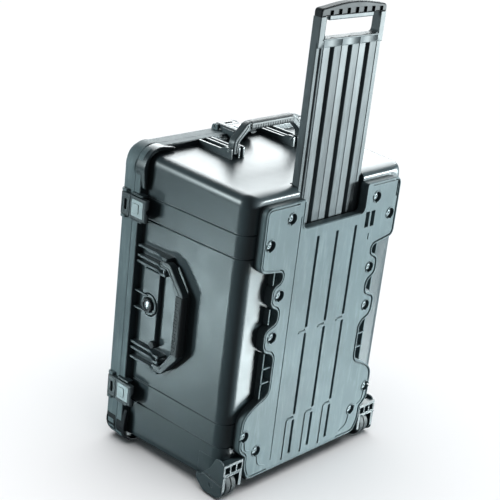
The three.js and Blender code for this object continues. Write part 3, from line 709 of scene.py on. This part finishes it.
def make_lid():
    half, low, high, corner = RIM
    chamfer = 0.6
    lip = ring(half - chamfer, low + chamfer, high - chamfer, corner - chamfer, PART_Y + 1)
    rings = [lip, ring(half, low, high, corner, PART_Y + 1.8)]
    for k in range(9):
        angle = math.radians(90 * k / 8)
        pull = 12 * (1 - math.cos(angle))
        y = LID_Y - 12 * (1 - math.sin(angle))
        rings.append(ring(half - pull, low + pull, high - pull, corner - pull / 2, y))
    lid = loft(rings)
    inner_half, inner_low, inner_high = body_at(RIM_Y, 5)
    cavity = rect(-inner_half, inner_low, inner_half, inner_high, 20, 8)
    ears, rooms, holes = [], [], []
    for edge, at in LATCHES.values():
        if edge == "side":
            ear, along, where = [(-236, 135), (-251, 136, 4), (-251, 150, 6), (-236, 153)], "z", (-246, 143)
        else:
            ear, along, where = [(135, 616), (136, 631, 4), (150, 631, 6), (153, 616)], "x", (143, 626)
        for s in (-1, 1):
            ears.append(prism(fillet(ear), along, at + s * 23, at + s * 28, 0.5, 0.5))
        rooms.append(rod(along, *where, at - 23, at + 23, 10, 0, 24))
        holes.append(rod(along, *where, at - 30, at + 30, 2.8, 0, 20))
    groove = band(rect(*SEAL_LINE, 8), -1.2, 6.2, "y", PART_Y, PART_Y + 4.5)
    steps = cut(prism(cavity, "y", PART_Y - 10, LID_Y - 5), groove, knuckle_room(0), together(rooms))
    steps += add(together(ears), knuckles(1)) + cut(hinge_bores(), together(holes))
    carve(lid, steps)
    # The sunk outer field is crossed by raised bars.
    field = prism(rect(-206, 42, 206, 584, 26, 10), "y", LID_Y - 2.6, LID_Y + 4)
    heights = (150, 233, 317, 401, 484)
    bars = [slab((-208, LID_Y - 4, z - 9), (208, LID_Y + 6, z + 9), "y", 8) for z in heights]
    guards = [corner_guard(*place, 126.4, 155, 1, 6) for place in GUARDED]
    carve(lid, add(*guards) + cut(carve(field, cut(*bars))))
    piece(lid, "case_lid", "lid", LID, "resin", "lid_shell")
    cells = [slab((-260, 131, z), (-239.5, 150, z + 11), "x", 2) for z in (24, 39)]
    bumper = carve(corner_guard(*BUMPER, 126.4, 156, 1, 6), cut(*cells))
    piece(bumper, "lid_bumper", "lid", ARCH, "grip")
    gasket = band(rect(*SEAL_LINE, 8), 0, 5, "y", 125, 128.2)
    piece(gasket, "lid_gasket", "lid", SEAL, "seal", "lid_seal")


# ---- valve ----
def make_valve():
    y, z = VALVE
    low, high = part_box("valve_collar")
    x0, x1 = low.x / MM, high.x / MM
    collar = prism(circle(y, z, 21.5, 48), "x", x0 - 1.5, x1, 2)
    arms = [slab((x0 - 3, 72, z + s * 17 - 1.7), (x1, 107.5, z + s * 17 + 1.7), "z", 0, 0.6) for s in (-1, 1)]
    carve(collar, cut(valve_rod(-260, -200, 15.5, 48)) + add(*arms))
    piece(collar, "valve_ring", "case", RESIN, "resin", "valve_collar")
    low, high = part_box("valve_knob")
    x0 = low.x / MM
    lobes = []
    for k in range(72):
        turn = 2 * math.pi * k / 72
        r = 13.4 + 0.6 * math.cos(12 * turn)
        lobes.append((y + r * math.cos(turn), z + r * math.sin(turn)))
    knob = prism(lobes, "x", x0, -226, 1.6)
    carve(knob, cut(valve_rod(x0 - 2, x0 + 2.2, 9.2)) + add(valve_rod(-227, -212, 5)))
    piece(knob, "valve_dial", "valve", GRIP, "valve", "valve_knob")
    crown = [(0, -0.6), (3, -0.4), (6.5, 0.4), (8.4, 1.6), (8.8, 2.4), (8.8, 4), (0, 4)]
    cap = lathe([(r, x0 + t) for r, t in crown], "x", y, z)
    slot = slab((x0 - 3, y - 1, z - 7), (x0 + 0.8, y + 1, z + 7), "x")
    piece(carve(cap, cut(slot)), "valve_cap", "valve", STEEL, "steel")


# ---- latches ----
def latch_parts():
    """Lever, cover plate and raised tab of one latch, drawn for a side latch at Z 0."""
    out = -252
    profile = [(out, 80, 4), (out, 149, 6), (out + 9.5, 149, 4), (out + 9.5, 80, 3), (out + 6, 76, 4)]
    lever = prism(fillet(profile), "z", -22, 22, 1.5, 1.5)
    seam = slab((out - 3, 122.6, -30), (out + 1.8, 124.2, 30))  # between the lever's two halves
    lid_slot = prism(rect(131, -11, 138.5, 11, 3.7), "x", out - 3, out + 5)
    field = slab((out - 3, 86, -17), (out + 1.2, 118.5, 17), "x", 3)
    scoop = rod("y", out + 9, 0, 70, 84, 7.5)
    pin_hole = rod("z", -246, 143, -25, 25, 2.8, steps=20)
    lines = [slab((out - 3, 127, z - 0.7), (out + 0.9, 146, z + 0.7)) for z in (-19.6, 19.6)]
    carve(lever, cut(seam, lid_slot, field, scoop, pin_hole, *lines))
    plate = prism(rect(86.6, -16.4, 117.9, 16.4, 2.6), "x", out - 0.4, out + 1.0, 0.5)
    carve(plate, cut(prism(rect(97, -10.5, 114, 10.5, 2), "x", out - 2, out + 0.3)))
    tab = prism(rect(98, -9.5, 113, 9.5, 2.4), "x", out - 1.6, out + 0.4, 1.1)
    return lever, plate, tab


def make_latches():
    for name, (edge, at) in LATCHES.items():
        if edge == "side":
            move = Matrix.Translation((0, 0, at * MM))
        else:
            # Side latch turned to the top edge: outward -X becomes +Z, Z becomes X.
            basis = Matrix(((0, 0, 1, 0), (0, 1, 0, 0), (-1, 0, 0, 0), (0, 0, 0, 1)))
            move = Matrix.Translation((0, 0, (632 - 252) * MM)) @ basis
        lever, plate, tab = latch_parts()
        for part in (lever, plate, tab):
            part.data.transform(move)
        piece(lever, name + "_lever", name, LEVER, "resin", name)
        piece(plate, name + "_plate", name, PLATE, "resin")
        piece(tab, name + "_tab", name, PLATE, "resin")


# ---- fold-down handles ----
def bail_outline(foot, top, reach, bar):
    """A handle's frame from the front: two feet, two slanted arms and the bar that joins them."""
    outer = [(-foot, -8, 6), (-foot, 19, 8), (-top, reach, 12)]
    outer += [(top, reach, 12), (foot, 19, 8), (foot, -8, 6)]
    i_foot, i_top, i_reach = foot - 13, top - 4, reach - bar
    inner = [(i_foot, -8, 5), (i_foot, 13, 8), (i_top, i_reach, 12)]
    inner += [(-i_top, i_reach, 12), (-i_foot, 13, 8), (-i_foot, -8, 5)]
    return fillet(outer + inner)


def finger_groove(section, x, reach, bar):
    """A cutter that scores a grip's section all round at x, on the half where the fingers close."""
    upper = slab((x - 3, -20, reach - bar / 2 + 1), (x + 3, 20, reach + 20))
    return carve(band(section, -1.5, 0.9, "x", x - 0.8, x + 0.8), cut(upper))


def make_bail(name, foot, top, reach, bar, grip, move):
    """Frame and grip of a handle, drawn in X and Z over its pivot at the origin, thickness along Y."""
    handle = prism(bail_outline(foot, top, reach, bar), "y", -8, 8, 2.4, 2.4)
    steps = cut(slab((-grip - 0.3, -20, reach - bar - 6), (grip + 0.3, 20, reach + 5)))
    steps += add(slab((-grip - 3, -4, reach - 11), (grip + 3, 4, reach - 4)))
    steps += cut(rod("x", 0, 0, -foot - 3, foot + 3, 3.8, steps=20))
    for s in (-1, 1):
        # Sunk field down each arm, on both faces.
        path = [(s * (foot - 6.5), -2), (s * (foot - 6.5), 17, 8), (s * (top + 3), reach - bar / 2 - 2)]
        for y0, y1 in ((-9, -7.1), (7.1, 9)):
            steps += cut(ribbon(fillet(path), 5.2, "y", y0, y1))
        x = s * (grip + 2.6)
        for z in (reach - bar - 1, reach - bar + 5):
            steps += cut(slab((x - 0.6, -9, z), (x + 0.6, -7.2, z + 9)))
        # Round boss over each pivot, on the outside of the foot.
        steps += add(rod("x", 0, 0, s * (foot - 0.5), s * (foot + 1.6), 6.5, 0.5))
        steps += cut(rod("x", 0, 0, s * (foot - 3), s * (foot + 3), 3.8))
    carve(handle, steps)
    half, low = 10, reach - bar - 1
    section = [(-half, low, 6), (half, low, 6), (half, reach - 3, 5)]
    section = fillet(section + [(5, reach, 4), (-5, reach, 4), (-half, reach - 3, 5)])
    sleeve = prism(section, "x", -grip, grip, 2, 2)
    steps = cut(slab((-grip - 2, -4.3, reach - 11.3), (grip + 2, 4.3, reach - 3.7)))
    count = 15
    for k in range(count):
        x = (k - (count - 1) / 2) * (2 * grip - 22) / (count - 1)
        steps += cut(finger_groove(section, x, reach, bar))
    carve(sleeve, steps)
    for part in (handle, sleeve):
        part.data.transform(move)
    piece(handle, name + "_bail", name, LEVER, "resin", name + "_frame")
    piece(sleeve, name + "_sleeve", name, GRIP, "grip", name + "_grip")


def make_handles():
    up = Matrix.Translation((0, TOP_PIVOT[0] * MM, TOP_PIVOT[1] * MM))
    make_bail("top_handle", 98.5, 64, 52, 16, 58, up)
    # Folded on the side wall: the drawn X runs up, the drawn Z runs to -Y, the drawn Y to -X.
    basis = Matrix(((0, -1, 0, 0), (0, 0, -1, 0), (1, 0, 0, 0), (0, 0, 0, 1)))
    side = Matrix.Translation((SIDE_PIVOT[0] * MM, SIDE_PIVOT[1] * MM, MID_Z * MM)) @ basis
    make_bail("side_handle", 112.5, 62, 62, 20, 60, side)


# ---- trolley cover ----
COVER_EDGE = [
    (158, 27, 14), (171, 56, 10), (171, 82, 3), (190, 98, 12), (190, 168, 22), (160, 190, 20),
    (127, 203, 14), (127, 285, 14), (158, 296, 16), (160, 340, 14), (129, 352, 8), (129, 375, 8),
    (152, 387, 14), (152, 424, 12), (129, 434, 8), (129, 450, 8), (190, 460, 16), (190, 583, 18),
]


def cover_outline():
    right = COVER_EDGE + [(86, 583, 6), (86, 526, 12)]
    left = [(-x, z, r) for x, z, r in reversed(right)]
    return fillet(right + left, 8)


def screw_seats(front):
    """Seats with their stepped rims and drain notches, for all twelve screws."""
    steps = []
    for s in (-1, 1):
        for i, (x, z) in enumerate(SCREWS):
            at = (s * x, z)
            steps += cut(rod("y", *at, front, TRAY_Y + 0.9, 12.6, steps=40))
            steps += add(band(circle(*at, 12.6, 40), 0.6, 2.4, "y", TRAY_Y - 1.1, TRAY_Y + 3))
            steps += cut(rod("y", *at, front, TRAY_Y + 9, 10.4, steps=40))
            steps += cut(rod("y", *at, front, BACK_Y + 3, 3.4, steps=20))
            for turn in (150, 205, 260):
                a = math.radians(turn if s < 0 else turn + 25 * i)
                notch = (s * x + 11 * math.cos(a), z + 11 * math.sin(a))
                steps += cut(rod("y", *notch, front, TRAY_Y + 3.4, 1.9, steps=12))
    return steps


def make_screws():
    seat = [(0, -157.0), (3.4, -157.0), (4.2, -156.4), (4.4, -155.0), (4.8, -154.8)]
    washer = [(5.1, -156.2), (6.4, -156.2), (6.7, -155.8), (6.7, -154.0)]
    shank = [(3, -153.6), (3, -137), (0, -136)]
    screw = lathe(seat + washer + shank, "y", 0, 0, 32)
    carve(screw, cut(prism(circle(0, 0, 2.3, 6), "y", -160, -154.6)))
    for side, s in (("left", -1), ("right", 1)):
        for i, (x, z) in enumerate(SCREWS, 1):
            each = linked("screw", screw.data.copy())
            each.data.transform(Matrix.Rotation(math.radians(17 * i), 4, "Y"))
            each.data.transform(Matrix.Translation((s * x * MM, 0, z * MM)))
            name = f"screw_{side}_{i}"
            piece(each, "tray_" + name, "case", SCREW_STEEL, "steel", "cover_" + name)
    bpy.data.objects.remove(screw)


def make_cover():
    outline = cover_outline()
    back, front = BACK_Y - 0.3, TRAY_Y - 3

    def sunk(x0, z0, x1, z1, depth, r):
        return cut(slab((x0, front, z0), (x1, TRAY_Y + depth, z1), "y", r))

    def proud(x0, z0, x1, z1, r):
        return add(slab((x0, TRAY_Y - 1.5, z0), (x1, TRAY_Y + 1, z1), "y", r, 0.6))

    body = prism(outline, "y", TRAY_Y, back, 2.6, 0, seg=4)
    line = band(outline, 4.0, 6.8, "y", TRAY_Y - 2, TRAY_Y + 3)
    carve(line, cut(slab((-104, -170, 0), (104, -150, 640))))
    steps = add(band(outline, 1.4, 3.6, "y", TRAY_Y - 0.9, TRAY_Y + 1)) + cut(line)
    for s in (-1, 1):
        # Frames across the notches: an outer wall and thin ribs round open cells.
        for z0, z1 in ((197, 290), (350, 380), (428, 458)):
            steps += add(slab((s * 147 - 1.5, TRAY_Y + 3, z0), (s * 147 + 1.5, back, z1), "y", 0, 0.4))
        for z in (229, 259):
            steps += add(slab((s * 122, TRAY_Y + 1.6, z - 1.3), (s * 148, back, z + 1.3), "y", 0, 0.4))
    steps += screw_seats(front)
    # Channels down the middle, broken by cross bars.
    for x in (-41, 13, 67):
        for z0, z1 in ((319, 504), (132, 307), (45, 120)):
            steps += sunk(x - 3.6, z0, x + 3.6, z1, 9, 2)
        for z in (313, 126):
            steps += proud(x - 20, z - 3.4, x + 1, z - 0.4, 1.2)
            steps += sunk(x - 18, z + 0.6, x - 2, z + 3.2, 2.4, 1)
        # A bead from the lower bar down to a round end.
        steps += proud(x - 21, 40, x - 18.6, 124, 1)
        steps += add(rod("y", x - 19.8, 40, TRAY_Y - 2, TRAY_Y + 1, 2.6, 1.2, steps=20))
    steps += sunk(-96, 48, -94, 552, 2.2, 0.8)
    # Vents and slots of the right ear.
    for x0, x1 in ((93, 104.5), (109.5, 121)):
        steps += sunk(x0, 493, x1, 525, 9, 1.5)
    steps += sunk(178.6, 543, 182.4, 574, 5, 1.5)
    steps += sunk(108, 466, 111, 480, 3, 1)
    # Raised seams of the lower ears.
    for s in (-1, 1):
        for start, corner, end in (((176, 117), (172, 96), (160, 92)), ((136, 73), (132, 52), (112, 44))):
            seam = fillet([(s * start[0], start[1]), (s * corner[0], corner[1], 14), (s * end[0], end[1])])
            steps += add(ribbon(seam, 2.2, "y", TRAY_Y - 1.2, TRAY_Y + 1, 0.6))
    for x0, x1 in EDGE_NOTCHES:
        steps += cut(slab((x0, -153, 20), (x1, -140, 32), "y", 1.5))
    carve(body, steps)
    piece(body, "trolley_tray", "case", COVER, "cover", "trolley_cover")
    make_screws()


# ---- trolley handle ----
PANEL = (-140, -122, 89)  # front, rear, half width
HAND_LOW, HAND_HIGH = 866, 904  # the hand opening


def panel_section():
    """Rounded grooves between flat lands, each land with a fine bead along its middle."""
    front, rear, half = PANEL

    def bead(x0, x, x1):
        return [(x0, front + 0.5), (x, front - 0.5), (x1, front + 0.5)]

    section = [(-half, rear), (-half, front + 3, 2)]
    section += [(-half + 9, front + 3, 1.5), (-half + 11, front + 0.6, 1.5)]
    for x in (-49, 0, 49):
        section += bead(x - 24 - 1.3, x - 24, x - 24 + 1.3)
        section += [(x - 5.6, front + 0.8, 1.5), (x - 3.4, front + 6.2, 2)]
        section += [(x + 3.4, front + 6.2, 2), (x + 5.6, front + 0.8, 1.5)]
    section += bead(72.6, 73.8, 75)
    section += [(half - 8, front + 0.6, 1.5), (half - 6.5, front + 3, 1.5)]
    section += [(half, front + 3, 2), (half, rear)]
    return fillet(section, 3)


def make_panel():
    (front, rear, half), low = PANEL, 368
    body = prism(panel_section(), "z", low, HAND_HIGH, 0.8)
    steps = cut(prism(rect(-74, HAND_LOW, 74, HAND_HIGH + 30, 9), "y", front - 10, rear + 10))
    # The grooves end below the hand opening, in a plain bar with a lip.
    steps += add(slab((-half + 1, front, HAND_LOW - 16), (half - 1, rear - 3, HAND_LOW - 1), "x", 2, 0.5))
    lip = rect(-77, HAND_LOW - 3.2, 77, HAND_LOW - 0.4, 1.2)
    steps += add(prism(lip, "y", front - 1.2, front + 4, 0.8))
    for s in (-1, 1):
        steps += add(slab((s * 74.6, front, HAND_LOW - 6), (s * half, rear, HAND_HIGH), "z", 2))
    # Cells behind, with crossed ribs.
    rows, gap = 8, 3
    step = (HAND_LOW - 20 - low) / rows
    for i in range(rows):
        for x0, x1 in ((-84, -29), (-26, 26), (29, 84)):
            z0 = low + 6 + i * step
            steps += cut(slab((x0, front + 10, z0), (x1, rear + 4, z0 + step - gap), "y", 3))
    carve(body, steps)
    piece(body, "trolley_panel", "trolley", RAIL, "rail", "trolley_handle")


def make_arch():
    front, rear, half = PANEL
    z0, top = HAND_HIGH + 0.3, 926
    arch = [(-half, z0), (half, z0), (half, top - 8, 26), (0, top + 4, 120), (-half, top - 8, 26)]
    grip = prism(fillet(arch, 14), "y", front, rear, 3, 3, seg=4)
    steps = cut(slab((-61, front + 4, z0 - 2), (61, rear - 4, z0 + 10)))
    wide = 9.6
    for k in range(-3, 4):
        x = k * 22.6
        roof = z0 + 8.5 + 4 * (1.0 - (x / 95) ** 2)
        sill = z0 + 1.6
        x0, x1 = x - wide, x + wide
        cell = fillet([(x0, sill, 1.5), (x1, sill, 1.5), (x1, roof, 2), (x0, roof, 2)])
        steps += cut(prism(cell, "y", front - 3, front + 3.4))
    # Finger lines on both ends.
    for k in range(5):
        z = z0 + 3 + 2.6 * k
        for s in (-1, 1):
            steps += cut(slab((s * (half - 1.0), front + 3, z), (s * (half + 3), rear - 3, z + 1.2)))
    carve(grip, steps)
    piece(grip, "trolley_arch", "trolley", ARCH, "grip", "trolley_grip")


def make_trigger():
    a, b = (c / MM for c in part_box("release_trigger"))
    trigger = slab(tuple(a), tuple(b), "x", 2.4, 1.5)
    lines = [slab((x - 1, a.y - 2, a.z - 2), (x + 1, b.y + 2, a.z + 0.9)) for x in range(-48, 49, 8)]
    piece(carve(trigger, cut(*lines)), "release_bar", "trigger", RAIL, "rail", "release_trigger")


# ---- wheels, feet and skids ----
def make_housing(name, s):
    steps = []
    for x0, x1 in ((175.5, 188), (191, 203.5), (206.5, 218.5)):
        steps += cut(slab((s * x0, -163, 60), (s * x1, -149, 74.5), "y", 1.5))
    steps += add(slab((s * 182, -161.4, 54), (s * 223, -158, 57), "y", 1, 0.6))
    # Fin up the outer back corner.
    fin = [(-159.6, 56), (-98, 36), (-108, 44, 10), (-126, 62, 12)]
    fin += [(-136, 86, 6), (-150, 87, 6), (-159.6, 76, 5)]
    steps += add(prism(fillet(fin), "x", s * 219.5, s * 223, 0.8, 0.8))
    # Proud lower plate of the cheek, with a raised lip along its top edge.
    plate = [(-159.4, 36, 3), (-112, 43, 3), (-99, 36, 5), (-98, 22, 8)]
    plate += [(-116, 9, 10), (-148, 6, 8), (-159.4, 14, 6)]
    steps += add(prism(fillet(plate), "x", s * 221, s * 224.4, 1.1, 1.1))
    lip = [(-157.5, 35.5), (-135, 38.8), (-112.5, 42)]
    steps += add(ribbon(lip, 2.4, "x", s * 221, s * 226, 0.8, 0.8))
    steps += cut(rod("x", *WHEEL[1:], s * 223.2, s * 230, 5.4))
    housing = carve(copy_of("wheel_housing_" + name), steps)
    piece(housing, "wheel_bracket_" + name, "case", RESIN, "resin", "wheel_housing_" + name)


def make_wheel(name, s):
    cx, y, radius = s * WHEEL[0], WHEEL[1], WHEEL[2]
    width, bore, shoulder = 16, 17.3, 6  # half width, hub seat and rounding of the tyre
    turns = [math.radians(90 * k / 6) for k in range(7)]
    profile = [(bore, -width)]
    for t in turns:
        profile.append((radius - shoulder * (1 - math.sin(t)), -width + shoulder * (1 - math.cos(t))))
    profile += [(27, -2.2), (25.8, -1.4), (25.8, 1.4), (27, 2.2)]
    for t in turns:
        profile.append((radius - shoulder * (1 - math.cos(t)), width - shoulder + shoulder * math.sin(t)))
    profile.append((bore, width))
    tyre = lathe([(r, cx + t) for r, t in profile], "x", y, radius, 56)
    piece(tyre, "tyre_" + name, "wheel_" + name, TYRE, "tyre", "wheel_tyre_" + name)
    # The hub is the same on both faces: a barrel, a sunk web and an outer rim.
    face = [(5.3, 15), (9, 15), (9.6, 12), (13.5, 12), (14.3, 14.6), (17, 14.6)]
    profile = [(r, cx - t) for r, t in face] + [(r, cx + t) for r, t in reversed(face)]
    hub = lathe(profile, "x", y, radius, 48)
    holes = [rod("x", *at, cx - 20, cx + 20, 1.9, steps=16) for at in circle(y, radius, 11.6, 6)]
    carve(hub, cut(together(holes)))
    piece(hub, "hub_" + name, "wheel_" + name, RAIL, "rail", "wheel_hub_" + name)


def make_feet():
    for name, s in (("left", -1), ("right", 1)):
        x0, x1 = sorted((s * 168, s * 212))
        foot = slab((x0, RIM_Y + 1, 0), (x1, PART_Y - 1, 5.7), "z", 4, 1.2)
        lines = [slab((x0 + 8 + 7 * k, 100, -2), (x0 + 10 + 7 * k, 130, 1.2)) for k in range(5)]
        piece(carve(foot, cut(*lines)), "rim_pad_" + name, "case", FOOT, "foot_rubber", "rim_foot_" + name)
        x0 = min(s * 60, s * 80)
        lines = [slab((x0 + 4 + 6 * k, -130, 0), (x0 + 6 + 6 * k, 90, 9.5)) for k in range(3)]
        skid = carve(copy_of("skid_" + name), cut(*lines))
        piece(skid, "base_skid_" + name, "case", RESIN, "resin", "skid_" + name)
    for i, (x0, x1) in enumerate(EDGE_NOTCHES, 1):
        pad = slab((x0, -152, 20), (x1, -134, 26.4), "z", 3, 1)
        piece(pad, f"edge_pad_{i}", "case", FOOT, "foot_rubber")


def make_pins():
    """Every steel pin and axle: a turned rod with chamfered ends and a groove near each end."""
    for node in frame["nodes"]:
        if "_pin" not in node and "axle" not in node:
            continue
        low, high = (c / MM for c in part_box(node))
        size, mid = high - low, (low + high) / 2
        i = max(range(3), key=lambda k: size[k])
        a, b = [k for k in range(3) if k != i]
        r = size[a] / 2
        chamfer = min(0.8, r * 0.25)
        neck = r - chamfer / 2
        start = low[i]
        profile = [(0, start), (r - chamfer, start), (r, start + chamfer), (r, start + 2)]
        profile += [(neck, start + 2.3), (neck, start + 2.8), (r, start + 3.1)]
        profile += [(rr, low[i] + high[i] - t) for rr, t in reversed(profile)]
        pin = lathe(profile, "xyz"[i], mid[a], mid[b], 28)
        piece(pin, "turned_" + node, frame["nodes"][node]["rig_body"], DARK_STEEL, "steel", node)


make_base()
make_lid()
make_valve()
make_latches()
make_handles()
make_cover()
make_panel()
make_arch()
make_trigger()
for side_name, side_sign in (("left", -1), ("right", 1)):
    make_housing(side_name, side_sign)
    make_wheel(side_name, side_sign)
make_feet()
make_pins()

# ---- floor, light and camera ----
corners = [(x * 6000, y * 6000, 0) for x, y in ((-1, -1), (1, -1), (1, 1), (-1, 1))]
floor = mesh_object(corners, [(0, 1, 2, 3)], "studio_floor")


def by_ray(tree, for_light, for_camera):
    """One shader for camera rays and another for every other ray."""
    path = tree.nodes.new("ShaderNodeLightPath")
    choose = tree.nodes.new("ShaderNodeMixShader")
    tree.links.new(path.outputs["Is Camera Ray"], choose.inputs["Fac"])
    tree.links.new(for_light.outputs[0], choose.inputs[1])
    tree.links.new(for_camera.outputs[0], choose.inputs[2])
    return choose.outputs[0]


def shader_node(tree, kind, colour):
    node = tree.nodes.new(kind)
    node.inputs["Color"].default_value = (*colour, 1)
    return node


floor_material = bpy.data.materials.new("studio_floor")
floor_material.use_nodes = True
tree = floor_material.node_tree
tree.nodes.clear()
lit = shader_node(tree, "ShaderNodeBsdfDiffuse", (0.13, 0.14, 0.145))
seen = shader_node(tree, "ShaderNodeBsdfDiffuse", (0.9, 0.91, 0.92))
surface = tree.nodes.new("ShaderNodeOutputMaterial").inputs["Surface"]
tree.links.new(by_ray(tree, lit, seen), surface)
floor.data.materials.append(floor_material)


def light_group(name, state):
    """A collection that tells a light to take in, or leave out, the floor."""
    group = bpy.data.collections.new(name)
    group.objects.link(floor)
    group.collection_objects[0].light_linking.link_state = state
    return group


off_floor, on_floor = light_group("off_floor", "EXCLUDE"), light_group("on_floor", "INCLUDE")
unshaded = light_group("unshaded", "EXCLUDE")


def area_light(name, place, target, size, power, tint=(1, 1, 1), spread=180):
    data = bpy.data.lights.new(name, "AREA")
    data.shape = "RECTANGLE"
    data.size, data.size_y = size
    data.energy = power
    data.color = tint
    data.spread = math.radians(spread)
    light = linked(name, data)
    light.location = place
    light.rotation_mode = "QUATERNION"
    light.rotation_quaternion = (Vector(target) - Vector(place)).to_track_quat("-Z", "Y")
    light.visible_camera = False
    light.light_linking.receiver_collection = off_floor
    light.light_linking.blocker_collection = unshaded


# The two lights under the floor stand for what a bright sweep throws up: the floor doesn't stop them.
KEY_TINT = (0.87, 0.98, 1.0)
area_light("key_right", (3.0, -2.2, 0.6), (0, -0.15, 0.2), (0.8, 0.6), 520, KEY_TINT)
area_light("key_low", (1.75, -2.0, -1.05), (-0.1, -0.15, 0.22), (0.8, 0.6), 6, KEY_TINT, 60)
area_light("top_back", (1.75, 1.6, 1.8), (0, 0, 0.6), (3.2, 1.8), 150, (0.92, 0.985, 1.0))
rake_aim = (-0.22, -0.08, 0.3)
area_light("rake_left", (-1.75, 1.28, -0.54), rake_aim, (0.3, 0.3), 0.33, (0.76, 0.96, 1.0), 30)
area_light("side_left", (-2.4, 1.2, 1.0), (-0.22, 0.0, 0.4), (0.8, 0.8), 70, (0.84, 0.98, 1.0))
fill = bpy.data.lights.new("floor_fill", "SUN")
fill.energy = 3.2
fill.angle = math.radians(70)
linked("floor_fill", fill).light_linking.receiver_collection = on_floor

world = bpy.data.worlds.new("studio")
scene.world = world
world.use_nodes = True
tree = world.node_tree
background = tree.nodes["Background"]
background.inputs["Color"].default_value = (0.93, 0.97, 1.0, 1)
background.inputs["Strength"].default_value = 0.13
seen = shader_node(tree, "ShaderNodeBackground", (1, 1, 1))
tree.links.new(by_ray(tree, background, seen), tree.nodes["World Output"].inputs["Surface"])
scene.view_settings.view_transform = "Standard"

# The camera looks along -back from a place fitted to the case's edges, and leans by the roll.
azimuth, elevation, roll = math.radians(-48.25), math.radians(21.593), math.radians(6.7)
level = math.cos(elevation)
back = Vector((math.sin(azimuth) * level, -math.cos(azimuth) * level, math.sin(elevation)))
right = Vector((math.cos(azimuth), math.sin(azimuth), 0))
up = back.cross(right)
turned_right = math.cos(roll) * right + math.sin(roll) * up
turned_up = -math.sin(roll) * right + math.cos(roll) * up
camera_data = bpy.data.cameras.new("camera")
camera_data.lens = 89.41
camera_data.clip_start, camera_data.clip_end = 0.05, 50
camera = linked("camera", camera_data)
axes = Matrix((turned_right, turned_up, back)).transposed().to_4x4()
camera.matrix_world = Matrix.Translation((-1.7041, -1.4819, 1.3003)) @ axes
scene.camera = camera
